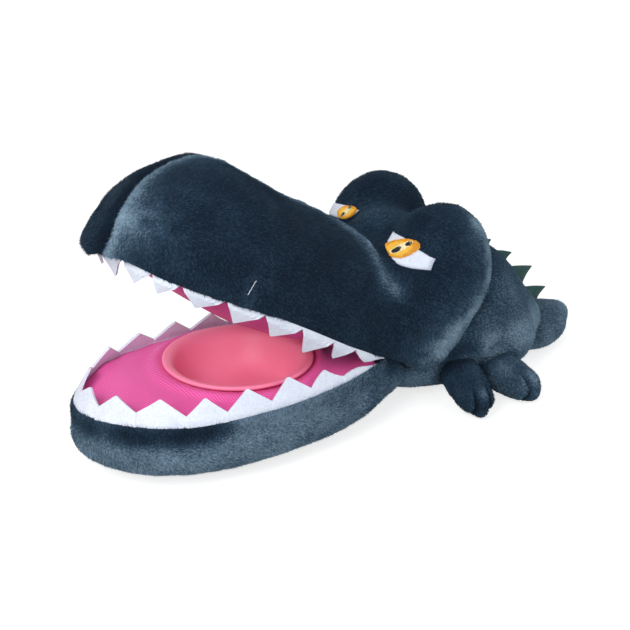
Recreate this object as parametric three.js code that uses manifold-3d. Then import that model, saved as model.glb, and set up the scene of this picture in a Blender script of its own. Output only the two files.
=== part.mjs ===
// A stuffed plush crocodile that lies on its belly and holds a food bowl in its open mouth.
// Millimetres, +Z up, the snout towards -X, the animal's left side towards -Y.
// The mouth hinges about a line along Y through x = 0. The last lines centre the animal over the origin.

import * as THREE from 'three';
import { mergeVertices } from 'three/addons/utils/BufferGeometryUtils.js';
import Module from 'manifold-3d';

const wasm = await Module();
wasm.setup();

// Cloth, clearances and cuts
const felt = 2;
const lining = 2;
const gap = 0.3;
const swingGap = 0.6;
const sweepGap = 1.5;
const sole = 0.5;
const overrun = 600;

// The mouth: the height of its hinge line, and how the head stands and moves, in degrees
const hingeHeight = 54;
const mouthOpening = 29.5;
const mouthCloses = 8;
const mouthOpens = 6;

// The lower jaw: its plan, which runs on past the hinge line, its widest line, and how it rounds over
const jawReach = 205;
const jawFront = 107;
const jawPast = 40;
const jawHalfWidth = 69;
const jawPlanPower = 2.2;
const jawHeight = 49;
const jawBulge = 28;
const jawRise = 34;
const jawRisePower = 3;
const jawFallPower = 2.5;
const jawEnd = 6;

// The snout and the head behind it, measured from the gum plane
const snoutReach = 216;
const snoutFront = 111;
const snoutPast = 60;
const snoutHalfWidth = 68;
const snoutHeight = 80;
const snoutBulge = 12;
const snoutFall = 40;
const snoutPower = 2.35;

// The two lobes of the head, each an eye hump with the cheek below it
const lobeOffset = 39;
const lobeHalfLength = 42.5;
const lobeHalfWidth = 31;
const lobeHalfHeight = 60;
const leftLobeRise = 59;
const leftLobeBack = 27.5;
const rightLobeRise = 64;
const rightLobeBack = 31.5;
const lobeLean = 20;
const lobePower = 2.2;

// The eyes: felt patches with a stitched iris and pupil, placed on the front of each lobe
const patch = 1.2;
const eyeLength = 40;
const eyeHeight = 20;
const eyeRise = 18;
const leftEyeInward = 16;
const rightEyeInward = 26.5;
const irisHalfLength = 12.5;
const irisHalfHeight = 5.5;
const irisTilt = 27;
const pupilHalfLength = 4.5;
const pupilHalfHeight = 1.6;

// The linings of the mouth, puffed by the stuffing behind them, and the roll of lining in its corner
const domeRise = 3.6;
const domePower = 3.2;
const palateRise = 5;
const palatePower = 2;
const liningEnd = 4;
const domeEnd = 10;
const rollLength = 76;

// The felt teeth, cut as one strip for each jaw, which lean into the mouth by some degrees
const lowerTeeth = 14;
const lowerToothHeight = 17;
const lowerToothLean = 22;
const lowerStripInset = 1.5;
const upperTeeth = 16;
const upperToothHeight = 15;
const upperToothLean = 36;
const upperStripInset = 2;
const toothBand = 5;

// The bowl and the cloth pocket that it sits in
const bowlPlaceShare = 0.417;
const bowlRadius = 52;
const bowlCreaseRadius = 43;
const bowlFloorRadius = 26;
const bowlDepth = 29;
const bowlWall = 2.2;
const lipDrop = 1.6;
const pocketWall = 1.2;

// The body
const torsoFront = 7;
const torsoLength = 185;
const torsoHalfWidth = 54;
const torsoHeight = 104;

// The tail, and how far it swings to each side, in degrees
const tailPivot = 166;
const tailStart = 148;
const tailLength = 76;
const tailHalfWidth = 31;
const tailHalfHeight = 16;
const tailLift = 4;
const tailSwing = 15;

// The legs: the place of each root inside the body and of its foot, and how far it lifts, in degrees
const legRadius = 14;
const frontRoot = new THREE.Vector3(73, 36, 30);
const frontFoot = new THREE.Vector3(67, 72, 16);
const rearRoot = new THREE.Vector3(101, 38, 22);
const rearFoot = new THREE.Vector3(109, 73, 15);
const toeDepth = 9;
const legHinge = 47;
const legLift = 20;

// The felt spikes down the back
const spikes = 4;
const spikeLength = 27;
const spikeHeight = 19;
const spikeSink = 8;
const spikeFelt = 2.5;

const plush = new THREE.MeshStandardMaterial({ color: 0x25323f, roughness: 0.95, metalness: 0 });
const paleFelt = new THREE.MeshStandardMaterial({ color: 0xe9e9f2, roughness: 0.95, metalness: 0 });
const greenFelt = new THREE.MeshStandardMaterial({ color: 0x1f4a44, roughness: 0.95, metalness: 0 });
const pinkMesh = new THREE.MeshStandardMaterial({ color: 0xd8357f, roughness: 0.85, metalness: 0 });
const pinkPlastic = new THREE.MeshStandardMaterial({ color: 0xf4687e, roughness: 0.4, metalness: 0 });
const yellowThread = new THREE.MeshStandardMaterial({ color: 0xf0b430, roughness: 0.7, metalness: 0 });
const blackThread = new THREE.MeshStandardMaterial({ color: 0x15151a, roughness: 0.7, metalness: 0 });

const sides = [
  { name: 'left', side: -1, back: leftLobeBack, rise: leftLobeRise, eyeInward: leftEyeInward },
  { name: 'right', side: 1, back: rightLobeBack, rise: rightLobeRise, eyeInward: rightEyeInward },
];
const radians = THREE.MathUtils.degToRad;
const power = (value, exponent) => Math.sign(value) * Math.abs(value) ** exponent;

// A smooth curve through [place share, value share] stops
function smoothShares(stops) {
  const slope = stops.map((stop, i) => {
    const before = stops[Math.max(0, i - 1)];
    const after = stops[Math.min(stops.length - 1, i + 1)];
    return (after[1] - before[1]) / (after[0] - before[0]);
  });
  return (share) => {
    const t = THREE.MathUtils.clamp(share, stops[0][0], stops[stops.length - 1][0]);
    const i = Math.min(stops.length - 2, stops.findLastIndex((stop) => stop[0] <= t));
    const width = stops[i + 1][0] - stops[i][0];
    const rise = stops[i + 1][1] - stops[i][1];
    const s = (t - stops[i][0]) / width;
    return stops[i][1] + s * slope[i] * width
      + s * s * (3 * rise - (2 * slope[i] + slope[i + 1]) * width)
      + s * s * s * ((slope[i] + slope[i + 1]) * width - 2 * rise);
  };
}

function solidFrom(geometry) {
  geometry.deleteAttribute('normal');
  geometry.deleteAttribute('uv');
  const merged = mergeVertices(geometry, 1e-3);
  return new wasm.Manifold(new wasm.Mesh({
    numProp: 3,
    vertProperties: merged.attributes.position.array,
    triVerts: new Uint32Array(merged.index.array),
  }));
}

function geometryFrom(solid) {
  const mesh = solid.getMesh();
  const geometry = new THREE.BufferGeometry();
  geometry.setAttribute('position', new THREE.BufferAttribute(mesh.vertProperties, 3));
  geometry.setIndex(new THREE.BufferAttribute(mesh.triVerts, 1));
  geometry.computeVertexNormals();
  return geometry;
}

const cut = (solid, cutters) => cutters.reduce((left, cutter) => left.subtract(cutter), solid);
const largest = (solid) => solid.decompose().sort((a, b) => b.volume() - a.volume())[0];

function addPiece(group, name, solid, material) {
  const piece = new THREE.Mesh(geometryFrom(solid), material);
  piece.name = name;
  group.add(piece);
}

// A stuffed form: the points of a unit sphere, its poles up and down, moved by shape(point)
function stuffed(columns, rows, shape) {
  const geometry = new THREE.SphereGeometry(1, columns, rows);
  geometry.rotateX(Math.PI / 2);
  const position = geometry.attributes.position;
  const point = new THREE.Vector3();
  for (let i = 0; i < position.count; i += 1) {
    point.fromBufferAttribute(position, i);
    shape(point);
    position.setXYZ(i, point.x, point.y, point.z);
  }
  return geometry;
}

// Squares off a point of the unit sphere, in plan and from the side: 2 is round, more is squarer
function square(point, planPower, sidePower) {
  const flat = Math.hypot(point.x, point.y);
  if (flat < 1e-9) return point.set(0, 0, Math.sign(point.z));
  const reach = flat ** (2 / sidePower);
  return point.set(
    power(point.x / flat, 2 / planPower) * reach,
    power(point.y / flat, 2 / planPower) * reach,
    power(point.z, 2 / sidePower),
  );
}

// A long stuffed form with a pole at each end: place(point, share, ring, across, up) sets each point,
// where ring falls to 0 at the ends, and across and up are the direction round the section
function sack(columns, rows, place) {
  return stuffed(columns, rows, (p) => {
    const share = (1 + THREE.MathUtils.clamp(p.z, -1, 1)) / 2;
    const ring = Math.hypot(p.x, p.y);
    place(p, share, ring, ring ? p.x / ring : 1, ring ? p.y / ring : 0);
  });
}

// A flat outline in X and Y as a slab that rises from z = 0
function slab(points, thickness) {
  return new THREE.ExtrudeGeometry(new THREE.Shape(points), { depth: thickness, bevelEnabled: false });
}

// A path of radius and height turned about the Z axis and closed at the top on the axis
function turned(path, segments) {
  const points = path.getPoints(5);
  points.push(new THREE.Vector2(0, points[points.length - 1].y));
  return new THREE.LatheGeometry(points, segments).rotateX(Math.PI / 2);
}

function block(low, high) {
  const size = high.clone().sub(low);
  const middle = low.clone().add(high).divideScalar(2);
  return solidFrom(new THREE.BoxGeometry(size.x, size.y, size.z).translate(middle.x, middle.y, middle.z));
}

const farHigh = new THREE.Vector3(overrun, overrun, overrun);
const farLow = farHigh.clone().negate();
const above = (z) => block(new THREE.Vector3(-overrun, -overrun, z), farHigh);
const below = (z) => block(farLow, new THREE.Vector3(overrun, overrun, z));
const behind = (x) => block(new THREE.Vector3(x, -overrun, -overrun), farHigh);

// A turn by some degrees about a line through a point, along one of the axes
function turnAbout(point, axis, degrees) {
  return new THREE.Matrix4().makeTranslation(point.x, point.y, point.z)
    .multiply(new THREE.Matrix4().makeRotationAxis(axis, radians(degrees)))
    .multiply(new THREE.Matrix4().makeTranslation(-point.x, -point.y, -point.z));
}

const alongX = new THREE.Vector3(1, 0, 0);
const alongY = new THREE.Vector3(0, 1, 0);
const alongZ = new THREE.Vector3(0, 0, 1);

// The head's place in the body's frame when it is turned by some degrees from rest
const headAt = (degrees) => new THREE.Matrix4()
  .makeRotationAxis(alongY, radians(mouthOpening + degrees))
  .setPosition(0, 0, hingeHeight);

// The share of a squared form's half-width that is left at a share of its height
const leftAt = (heightShare, sidePower) => (1 - heightShare ** sidePower) ** (1 / sidePower);

// The lower jaw's form, and its outline where it is cut flat for the teeth
const jawCentre = jawFront - jawReach;
const jawRear = jawPast - jawCentre;
const jawFallShares = [[0, 0.9], [0.2, 1], [0.62, 1], [0.85, 0.86], [1, 0.72]];
const jawFallShare = smoothShares(jawFallShares);

function jawForm(grow = 0) {
  return stuffed(40, 16, (p) => {
    const upper = p.z > 0;
    square(p, jawPlanPower, upper ? jawRisePower : jawFallPower);
    const x = p.x * (p.x < 0 ? jawFront : jawRear);
    const fall = (jawBulge + sole) * jawFallShare((x + jawFront) / (jawFront + jawRear));
    p.set(
      jawCentre + x + p.x * grow,
      p.y * (jawHalfWidth + grow),
      jawBulge + p.z * ((upper ? jawRise : fall) + grow),
    );
  });
}

const jawRimShare = leftAt((jawHeight - jawBulge) / jawRise, jawRisePower);
const lowerRim = {
  centre: jawCentre,
  front: jawFront * jawRimShare,
  rear: jawRear * jawRimShare,
  halfWidth: jawHalfWidth * jawRimShare,
  planPower: jawPlanPower,
};

// The snout's form in the head's own frame, where the gum plane is z = 0, and its outline there
const snoutCentre = snoutFront - snoutReach;
const snoutRear = snoutPast - snoutCentre;
const snoutTopShares = [
  [0, 0.8], [0.09, 0.88], [0.16, 1.01], [0.22, 1.06], [0.28, 1.01], [0.395, 0.94], [0.616, 0.95], [1, 0.9],
];
const snoutTopShare = smoothShares(snoutTopShares);
const snoutWidthShares = [[0, 1], [0.3, 1], [0.55, 0.95], [0.75, 0.96], [1, 0.9]];
const snoutWidthShare = smoothShares(snoutWidthShares);

function snoutForm(grow = 0, columns = 40, rows = 18) {
  return stuffed(columns, rows, (p) => {
    square(p, snoutPower, snoutPower);
    const x = p.x * (p.x < 0 ? snoutFront : snoutRear);
    const share = (x + snoutFront) / (snoutFront + snoutRear);
    const rise = (snoutHeight - snoutBulge) * snoutTopShare(share);
    p.set(
      snoutCentre + x + p.x * grow,
      p.y * (snoutHalfWidth * snoutWidthShare(share) + grow),
      snoutBulge + p.z * ((p.z > 0 ? rise : snoutFall) + grow),
    );
  });
}

const gumShare = leftAt(snoutBulge / snoutFall, snoutPower);
const upperRim = {
  centre: snoutCentre,
  front: snoutFront * gumShare,
  rear: snoutRear * gumShare,
  halfWidth: snoutHalfWidth * gumShare,
  planPower: snoutPower,
};

// A lobe's form, upright about its own middle and drawn in low down behind, and its place on the head
const lobeTuckShare = 0.9;

function lobeForm(grow = 0, columns = 22, rows = 16) {
  return stuffed(columns, rows, (p) => {
    square(p, lobePower, lobePower);
    const behind = p.x > 0 ? 1 - lobeTuckShare * Math.max(0, -p.z) : 1;
    p.x *= lobeHalfLength * behind + grow;
    p.y *= lobeHalfWidth + grow;
    p.z *= lobeHalfHeight + grow;
  });
}

const lobeAt = ({ side, back, rise }) => new THREE.Matrix4()
  .makeRotationAxis(alongY, -radians(lobeLean))
  .setPosition(back, side * lobeOffset, rise);

// The torso's form: a sack along X, high behind the head and falling steeply to the tail
const torsoTopShares = [
  [0, 0.6], [0.25, 0.88], [0.5, 1], [0.65, 0.97], [0.73, 0.875], [0.79, 0.75], [0.9, 0.58], [1, 0.33],
];
const torsoTopShare = smoothShares(torsoTopShares);
const torsoWidthShares = [[0, 0.85], [0.3, 1], [0.6, 0.98], [0.8, 0.8], [1, 0.6]];
const torsoWidthShare = smoothShares(torsoWidthShares);
const torsoMiddleShare = 0.44;
const torsoFullness = 0.85;
const torsoRoundness = 0.9;

function torsoForm(grow = 0) {
  return sack(32, 20, (p, share, ring, across, up) => {
    const top = torsoHeight * torsoTopShare(share);
    const middle = top * torsoMiddleShare;
    const around = ring ** torsoFullness;
    const reach = up > 0 ? top - middle : middle + sole;
    p.set(
      torsoFront + torsoLength * share + grow * (2 * share - 1),
      power(across, torsoRoundness) * (torsoHalfWidth * torsoWidthShare(share) * around + grow),
      middle + power(up, torsoRoundness) * (reach * around + grow),
    );
  });
}

// The line down the middle of the back, as far as the tail
function backLine() {
  const startShare = 0.35;
  const endShare = 0.97;
  const steps = 24;
  const points = [];
  for (let i = 0; i <= steps; i += 1) {
    const share = THREE.MathUtils.lerp(startShare, endShare, i / steps);
    const top = torsoHeight * torsoTopShare(share);
    const middle = top * torsoMiddleShare;
    const around = (2 * Math.sqrt(share * (1 - share))) ** torsoFullness;
    points.push(new THREE.Vector3(torsoFront + torsoLength * share, 0, middle + (top - middle) * around));
  }
  return new THREE.CatmullRomCurve3(points);
}

// The tail's form: a short broad cone with a round tip
const tailWidthShares = [[0, 0.9], [0.3, 1], [0.6, 0.92], [0.85, 0.64], [1, 0.42]];
const tailWidthShare = smoothShares(tailWidthShares);
const tailFullness = 0.75;

function tailForm(grow = 0) {
  return sack(18, 12, (p, share, ring, across, up) => {
    const around = ring ** tailFullness;
    p.set(
      tailStart + tailLength * share + grow * (2 * share - 1),
      across * (tailHalfWidth * tailWidthShare(share) * around + grow),
      tailHalfHeight - sole + tailLift * share * share + up * (tailHalfHeight * around + grow),
    );
  });
}

// A leg's form: a sack from its root out to a foot with three toes
const legs = [
  { name: 'front', root: frontRoot, foot: frontFoot },
  { name: 'rear', root: rearRoot, foot: rearFoot },
].flatMap(({ name, root, foot }) => sides.map((to) => {
  const mirror = new THREE.Vector3(1, to.side, 1);
  return {
    name: `${name}_${to.name}_leg`,
    side: to.side,
    root: root.clone().multiply(mirror),
    foot: foot.clone().multiply(mirror),
  };
}));
const toesWide = 3;
const legFullness = 0.7;
const rootShare = 0.92;
const footShare = 1.12;

function legForm({ root, foot }, grow = 0, columns = 16, rows = 14) {
  const along = foot.clone().sub(root);
  const length = along.length() + 2 * legRadius;
  along.normalize();
  const across = new THREE.Vector3().crossVectors(alongZ, along).normalize();
  const upward = new THREE.Vector3().crossVectors(along, across);
  return sack(columns, rows, (p, share, ring, sideways, up) => {
    const reach = legRadius * THREE.MathUtils.lerp(rootShare, footShare, share) * ring ** legFullness + grow;
    const outer = Math.max(0, share - 1 / 2);
    const toes = toeDepth * outer * Math.abs(Math.cos(Math.PI * sideways * ring * toesWide / 2));
    p.copy(root)
      .addScaledVector(along, length * share - legRadius + toes + grow * (2 * share - 1))
      .addScaledVector(across, sideways * reach)
      .addScaledVector(upward, up * reach);
  });
}

// A jaw's outline drawn in by an inset, and the line that its teeth follow round it
function drawnIn(rim, inset) {
  return { ...rim, front: rim.front - inset, rear: rim.rear - inset, halfWidth: rim.halfWidth - inset };
}

function gumLine(rim, end) {
  const start = Math.acos(((-end - rim.centre) / rim.rear) ** (rim.planPower / 2));
  const steps = 60;
  const points = [];
  for (let i = 0; i <= steps; i += 1) {
    const angle = start + (2 * Math.PI - 2 * start) * i / steps;
    const x = power(Math.cos(angle), 2 / rim.planPower);
    const y = -power(Math.sin(angle), 2 / rim.planPower);
    points.push(new THREE.Vector3(rim.centre + x * (x < 0 ? rim.front : rim.rear), y * rim.halfWidth, 0));
  }
  return new THREE.CatmullRomCurve3(points, false, 'centripetal');
}

// The most of the closed mouth's room that a tooth takes up, and of its height that stands upright
const toothShare = 0.64;
const kneeShare = 0.85;

// Teeth cut in a felt strip that stands on the gum, upright past the lining's edge and then leaning
// into the mouth. Each stays short of the other gum when the mouth closes.
function toothStrip(line, count, tall, lean, up) {
  const steps = count * 4;
  const closed = Math.tan(radians(mouthOpening - mouthCloses));
  const knee = gap + lining + gap;
  const position = [];
  const index = [];
  for (let i = 0; i <= steps; i += 1) {
    const point = line.getPointAt(i / steps);
    const tangent = line.getTangentAt(i / steps);
    const inward = new THREE.Vector3(tangent.y, -tangent.x, 0).normalize();
    const room = -point.x * closed + hingeHeight - jawHeight - felt - lining;
    const saw = 1 - Math.abs((i % 4) - 2) / 2;
    const height = THREE.MathUtils.lerp(Math.min(toothBand, room / 2), Math.min(tall, room * toothShare), saw);
    const upright = Math.min(knee, height * kneeShare);
    const leaning = height - upright;
    const rows = [
      [0, 0],
      [0, upright],
      [leaning * Math.sin(radians(lean)), upright + leaning * Math.cos(radians(lean))],
    ];
    for (const half of [-felt / 2, felt / 2]) {
      for (const [shift, rise] of rows) {
        position.push(point.x + inward.x * (shift + half), point.y + inward.y * (shift + half), up * (gap + rise));
      }
    }
    if (i < steps) {
      const a = i * 6;
      const b = a + 6;
      for (const [low, high] of [[0, 1], [1, 2], [2, 5], [5, 4], [4, 3], [3, 0]]) {
        index.push(a + low, a + high, b + high, a + low, b + high, b + low);
      }
    }
  }
  const end = steps * 6;
  index.push(0, 4, 1, 0, 3, 4, 1, 5, 2, 1, 4, 5);
  index.push(end, end + 1, end + 4, end, end + 4, end + 3, end + 1, end + 2, end + 5, end + 1, end + 5, end + 4);
  const geometry = new THREE.BufferGeometry();
  geometry.setAttribute('position', new THREE.Float32BufferAttribute(position, 3));
  geometry.setIndex(up > 0 ? index : index.reverse());
  return geometry;
}

// The puffed part of a lining, above and below its gum plane at z = 0
function domeForm(rim, rise, sidePower, grow = 0) {
  return stuffed(28, 8, (p) => {
    square(p, rim.planPower, sidePower);
    p.set(
      rim.centre + p.x * ((p.x < 0 ? rim.front : rim.rear) + grow),
      p.y * (rim.halfWidth + grow),
      p.z * (rise + grow),
    );
  });
}

const domeRim = (rim, stripInset) => ({
  ...drawnIn(rim, stripInset + felt / 2 + gap + lining + gap),
  rear: -domeEnd - rim.centre,
});
const lowerDomeRim = domeRim(lowerRim, lowerStripInset);
const upperDomeRim = domeRim(upperRim, upperStripInset);

// A lining: a sheet over the flat gum inside the teeth, with the puffed part over the stuffing
function liningSolid(rim, stripInset, dome, rise, sidePower) {
  const outline = gumLine(drawnIn(rim, stripInset + felt / 2 + gap), liningEnd).getPoints(48);
  const sheet = slab(outline.map((p) => new THREE.Vector2(p.x, p.y)), lining).translate(0, 0, gap);
  return solidFrom(sheet)
    .add(solidFrom(domeForm(dome, rise, sidePower, gap + lining)))
    .subtract(solidFrom(domeForm(dome, rise, sidePower, gap)))
    .intersect(above(gap));
}

// The outside of the bowl below its lip, grown outwards, from the middle of its floor
const cupCornerShare = 0.85;
const bowlPlace = -jawReach * bowlPlaceShare;
const underLip = -lipDrop - bowlWall;
const bowlRimHeight = jawHeight + domeRise + gap + lining + gap - underLip;

function cupPath(grow = 0) {
  const outside = bowlCreaseRadius + bowlWall + grow;
  const path = new THREE.Path();
  path.moveTo(0, -bowlDepth - bowlWall - grow);
  path.lineTo(bowlFloorRadius + grow, -bowlDepth - bowlWall - grow);
  path.quadraticCurveTo(outside, -bowlDepth * cupCornerShare, outside, underLip);
  return path;
}

// The same, carried on straight up past the lip, as the room that a cup needs
function roomPath(grow) {
  const path = cupPath(grow);
  path.lineTo(path.currentPoint.x, bowlDepth);
  return path;
}

const cupAt = (path) => solidFrom(turned(path, 32).translate(bowlPlace, 0, bowlRimHeight));

function bowlSolid() {
  const path = cupPath();
  path.lineTo(bowlRadius, -bowlWall);
  path.lineTo(bowlRadius, 0);
  path.lineTo(bowlCreaseRadius, -lipDrop);
  path.quadraticCurveTo(bowlCreaseRadius, -bowlDepth * cupCornerShare, bowlFloorRadius, -bowlDepth);
  return cupAt(path);
}

const pocketSolid = () => cupAt(cupPath(gap + pocketWall))
  .intersect(below(bowlRimHeight + underLip - gap))
  .subtract(cupAt(roomPath(gap)));
const recess = cupAt(roomPath(gap + pocketWall + gap));

// The roll of lining on the hinge line
const rollRadius = hingeHeight - jawHeight - 2 * gap;
const rollSolid = (grow) => solidFrom(new THREE.CylinderGeometry(
  rollRadius + grow, rollRadius + grow, rollLength + 2 * grow, 16,
));

// What the swinging pieces sweep through, grown, with fewer facets than the pieces have
const tailRoot = new THREE.Vector3(tailPivot, 0, 0);
const aboveGum = above(-sweepGap);
const headParts = [
  snoutForm(sweepGap, 32, 16),
  ...sides.map((to) => lobeForm(sweepGap, 16, 12).applyMatrix4(lobeAt(to))),
].map((form) => solidFrom(form).intersect(aboveGum));
const headSweep = [0, mouthOpens]
  .flatMap((degrees) => headParts.map((solid) => solid.transform(headAt(degrees).toArray())));
const tailSweep = [-1, 0, 1].map((share) => solidFrom(
  tailForm(swingGap).applyMatrix4(turnAbout(tailRoot, alongZ, share * tailSwing)),
));

const aboveFloor = above(0);
const body = new THREE.Group();

const lowerDome = solidFrom(domeForm(lowerDomeRim, domeRise, domePower).translate(0, 0, jawHeight));
const jawSolid = solidFrom(jawForm())
  .intersect(below(jawHeight))
  .add(lowerDome)
  .intersect(aboveFloor)
  .subtract(behind(jawEnd))
  .subtract(recess);
addPiece(body, 'lower_jaw', largest(cut(jawSolid, headSweep)), plush);
addPiece(body, 'bowl_pocket', pocketSolid(), pinkMesh);
addPiece(body, 'bowl', bowlSolid(), pinkPlastic);

const lowerLining = liningSolid(lowerRim, lowerStripInset, lowerDomeRim, domeRise, domePower)
  .translate(0, 0, jawHeight)
  .subtract(recess);
addPiece(body, 'lower_lining', largest(lowerLining), pinkMesh);

const lowerGum = gumLine(drawnIn(lowerRim, lowerStripInset), liningEnd);
const lowerTeethMesh = new THREE.Mesh(
  toothStrip(lowerGum, lowerTeeth, lowerToothHeight, lowerToothLean, 1),
  paleFelt,
);
lowerTeethMesh.name = 'lower_teeth';
lowerTeethMesh.position.z = jawHeight;
body.add(lowerTeethMesh);

const roll = new THREE.Mesh(geometryFrom(rollSolid(0)), pinkMesh);
roll.name = 'throat_lining';
roll.position.z = hingeHeight;
body.add(roll);

const torsoSolid = cut(solidFrom(torsoForm()).intersect(aboveFloor), [
  ...headSweep,
  ...tailSweep,
  solidFrom(jawForm(gap)).subtract(behind(jawEnd + gap)),
  rollSolid(gap).translate(0, 0, hingeHeight),
]);
addPiece(body, 'torso', largest(torsoSolid), plush);
addPiece(body, 'tail', solidFrom(tailForm()).intersect(aboveFloor), plush);

// A leg gives way to the torso and the head, however far it is lifted
for (const leg of legs) {
  const hinge = new THREE.Vector3(leg.root.x, leg.side * legHinge, leg.root.z);
  const around = [0, 1].flatMap((share) => {
    const back = turnAbout(hinge, alongX, -leg.side * share * legLift).toArray();
    return [solidFrom(torsoForm(gap)), ...headSweep].map((solid) => solid.transform(back));
  });
  addPiece(body, leg.name, largest(cut(solidFrom(legForm(leg)).intersect(aboveFloor), around)), plush);
}

// Each spike leans back from the line of the back, with a hollow rear edge
const tipShare = 0.82;
const footEndShare = 0.97;
const hollowShares = [0.78, 0.45];
const back = backLine();
const torsoSkin = solidFrom(torsoForm(gap));
for (let i = 0; i < spikes; i += 1) {
  const length = back.getLength();
  const front = back.getPointAt(1 - (spikes - i) * spikeLength / length);
  const rear = back.getPointAt(1 - (spikes - i - 1) * spikeLength / length);
  const along = rear.clone().sub(front).normalize();
  const outward = new THREE.Vector3(-along.z, 0, along.x);
  const outline = new THREE.Shape();
  outline.moveTo(0, -spikeSink);
  outline.lineTo(spikeLength * footEndShare, -spikeSink);
  outline.lineTo(spikeLength * footEndShare, 0);
  outline.quadraticCurveTo(
    spikeLength * hollowShares[0],
    spikeHeight * hollowShares[1],
    spikeLength * tipShare,
    spikeHeight,
  );
  outline.lineTo(0, 0);
  const felted = { depth: spikeFelt, bevelEnabled: false, curveSegments: 4 };
  const spike = new THREE.ExtrudeGeometry(outline, felted).translate(0, 0, -spikeFelt / 2);
  const across = alongY.clone().negate();
  spike.applyMatrix4(new THREE.Matrix4().makeBasis(along, outward, across).setPosition(front));
  const seated = cut(solidFrom(spike), [torsoSkin, ...tailSweep]);
  addPiece(body, `back_spike_${i + 1}`, largest(seated), greenFelt);
}

const head = new THREE.Group();
head.position.z = hingeHeight;
head.rotation.y = radians(mouthOpening);
body.add(head);

const rollRoom = rollSolid(swingGap);
const gumUp = above(0);
const upperDome = solidFrom(domeForm(upperDomeRim, palateRise, palatePower));
const headSolid = solidFrom(snoutForm()).intersect(gumUp).add(upperDome).subtract(rollRoom);
addPiece(head, 'head', largest(headSolid), plush);

const palate = liningSolid(upperRim, upperStripInset, upperDomeRim, palateRise, palatePower)
  .mirror([0, 0, 1])
  .subtract(rollRoom);
addPiece(head, 'palate_lining', largest(palate), pinkMesh);

const upperGum = gumLine(drawnIn(upperRim, upperStripInset), liningEnd);
const upperTeethMesh = new THREE.Mesh(
  toothStrip(upperGum, upperTeeth, upperToothHeight, upperToothLean, -1),
  paleFelt,
);
upperTeethMesh.name = 'upper_teeth';
head.add(upperTeethMesh);

// The eye's outline, as shares of its length and height, from its inner end round below
const eyeShares = [
  [0, 0.34], [0.07, 0.15], [0.2, 0.05], [0.37, 0], [0.76, 0.05], [1, 0.07],
  [1, 0.5], [0.76, 0.9], [0.44, 1], [0.07, 0.94],
];
const irisPlaceShares = [0.44, 0.5];
const pupilPlaceShares = [0.45, 0.49];

function ellipsePoints(centre, halfLength, halfHeight) {
  const round = [0, 2 * Math.PI, false, radians(irisTilt)];
  return new THREE.EllipseCurve(centre.x, centre.y, halfLength, halfHeight, ...round).getPoints(20).slice(0, -1);
}

const snoutSkin = solidFrom(snoutForm(gap));
for (const to of sides) {
  const { name, side, eyeInward } = to;
  const place = lobeAt(to);
  const lobeOut = (grow) => solidFrom(lobeForm(grow).applyMatrix4(place));
  const lobe = lobeOut(0).subtract(snoutSkin).intersect(gumUp).subtract(rollRoom);
  addPiece(head, `${name}_eye_lobe`, largest(lobe), plush);

  const eyePoint = (shares) => new THREE.Vector2(
    side * (shares[0] * eyeLength - eyeInward),
    eyeRise + shares[1] * eyeHeight,
  );
  const facing = new THREE.Matrix4().makeBasis(alongY, alongZ, alongX).setPosition(-2 * lobeHalfLength, 0, 0);
  facing.premultiply(place);
  const through = (points) => solidFrom(slab(points, 2 * lobeHalfLength).applyMatrix4(facing));
  const tilted = (centre, halfLength, halfHeight) => through(
    ellipsePoints(centre, halfLength, halfHeight).map((p) => new THREE.Vector2(
      centre.x + side * (p.x - centre.x),
      p.y,
    )),
  );
  const skin = lobeOut(gap + patch).subtract(lobeOut(gap)).subtract(snoutSkin);
  const eye = skin.intersect(through(eyeShares.map(eyePoint)));
  const iris = (grow) => tilted(eyePoint(irisPlaceShares), irisHalfLength + grow, irisHalfHeight + grow);
  const pupil = (grow) => tilted(eyePoint(pupilPlaceShares), pupilHalfLength + grow, pupilHalfHeight + grow);
  addPiece(head, `${name}_eye_patch`, largest(eye.subtract(iris(gap))), paleFelt);
  addPiece(head, `${name}_iris`, largest(eye.intersect(iris(0)).subtract(pupil(gap))), yellowThread);
  addPiece(head, `${name}_pupil`, largest(eye.intersect(pupil(0))), blackThread);
}

const crocodile = new THREE.Group();
crocodile.add(body);
const box = new THREE.Box3().setFromObject(crocodile, true);
body.position.x = -(box.min.x + box.max.x) / 2;

export default crocodile;
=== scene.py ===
"""A plush crocodile on its belly, with felt teeth, a hinged head and a food bowl in its open lower jaw."""
import math

import bmesh
import bpy
import numpy as np
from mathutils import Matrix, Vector, noise
from mathutils.bvhtree import BVHTree


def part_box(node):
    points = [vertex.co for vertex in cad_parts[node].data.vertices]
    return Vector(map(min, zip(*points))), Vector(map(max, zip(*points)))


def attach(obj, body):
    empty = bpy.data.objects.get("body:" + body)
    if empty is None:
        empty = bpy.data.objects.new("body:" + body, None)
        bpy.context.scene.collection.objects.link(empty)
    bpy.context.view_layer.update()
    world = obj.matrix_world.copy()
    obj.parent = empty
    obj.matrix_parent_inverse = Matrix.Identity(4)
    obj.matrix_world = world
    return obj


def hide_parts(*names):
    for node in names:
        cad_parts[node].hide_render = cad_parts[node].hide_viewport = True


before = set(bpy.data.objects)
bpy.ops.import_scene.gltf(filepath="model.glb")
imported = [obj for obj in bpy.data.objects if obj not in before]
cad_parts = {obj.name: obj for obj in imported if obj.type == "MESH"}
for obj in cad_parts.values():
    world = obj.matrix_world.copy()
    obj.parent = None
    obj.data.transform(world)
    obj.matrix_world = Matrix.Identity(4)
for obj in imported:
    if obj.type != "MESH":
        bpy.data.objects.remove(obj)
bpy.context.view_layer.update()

MM = 0.001

# The camera at the photograph's viewing angle, and the point it is aimed at
CAMERA_AZIMUTH = math.radians(-34)
CAMERA_ELEVATION = math.radians(23)
CAMERA_DISTANCE = 0.940
CAMERA_LENS, CAMERA_SENSOR = 77.71, 36
CAMERA_TARGET = Vector((-0.042815, -0.017390, 0.082210))

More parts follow.
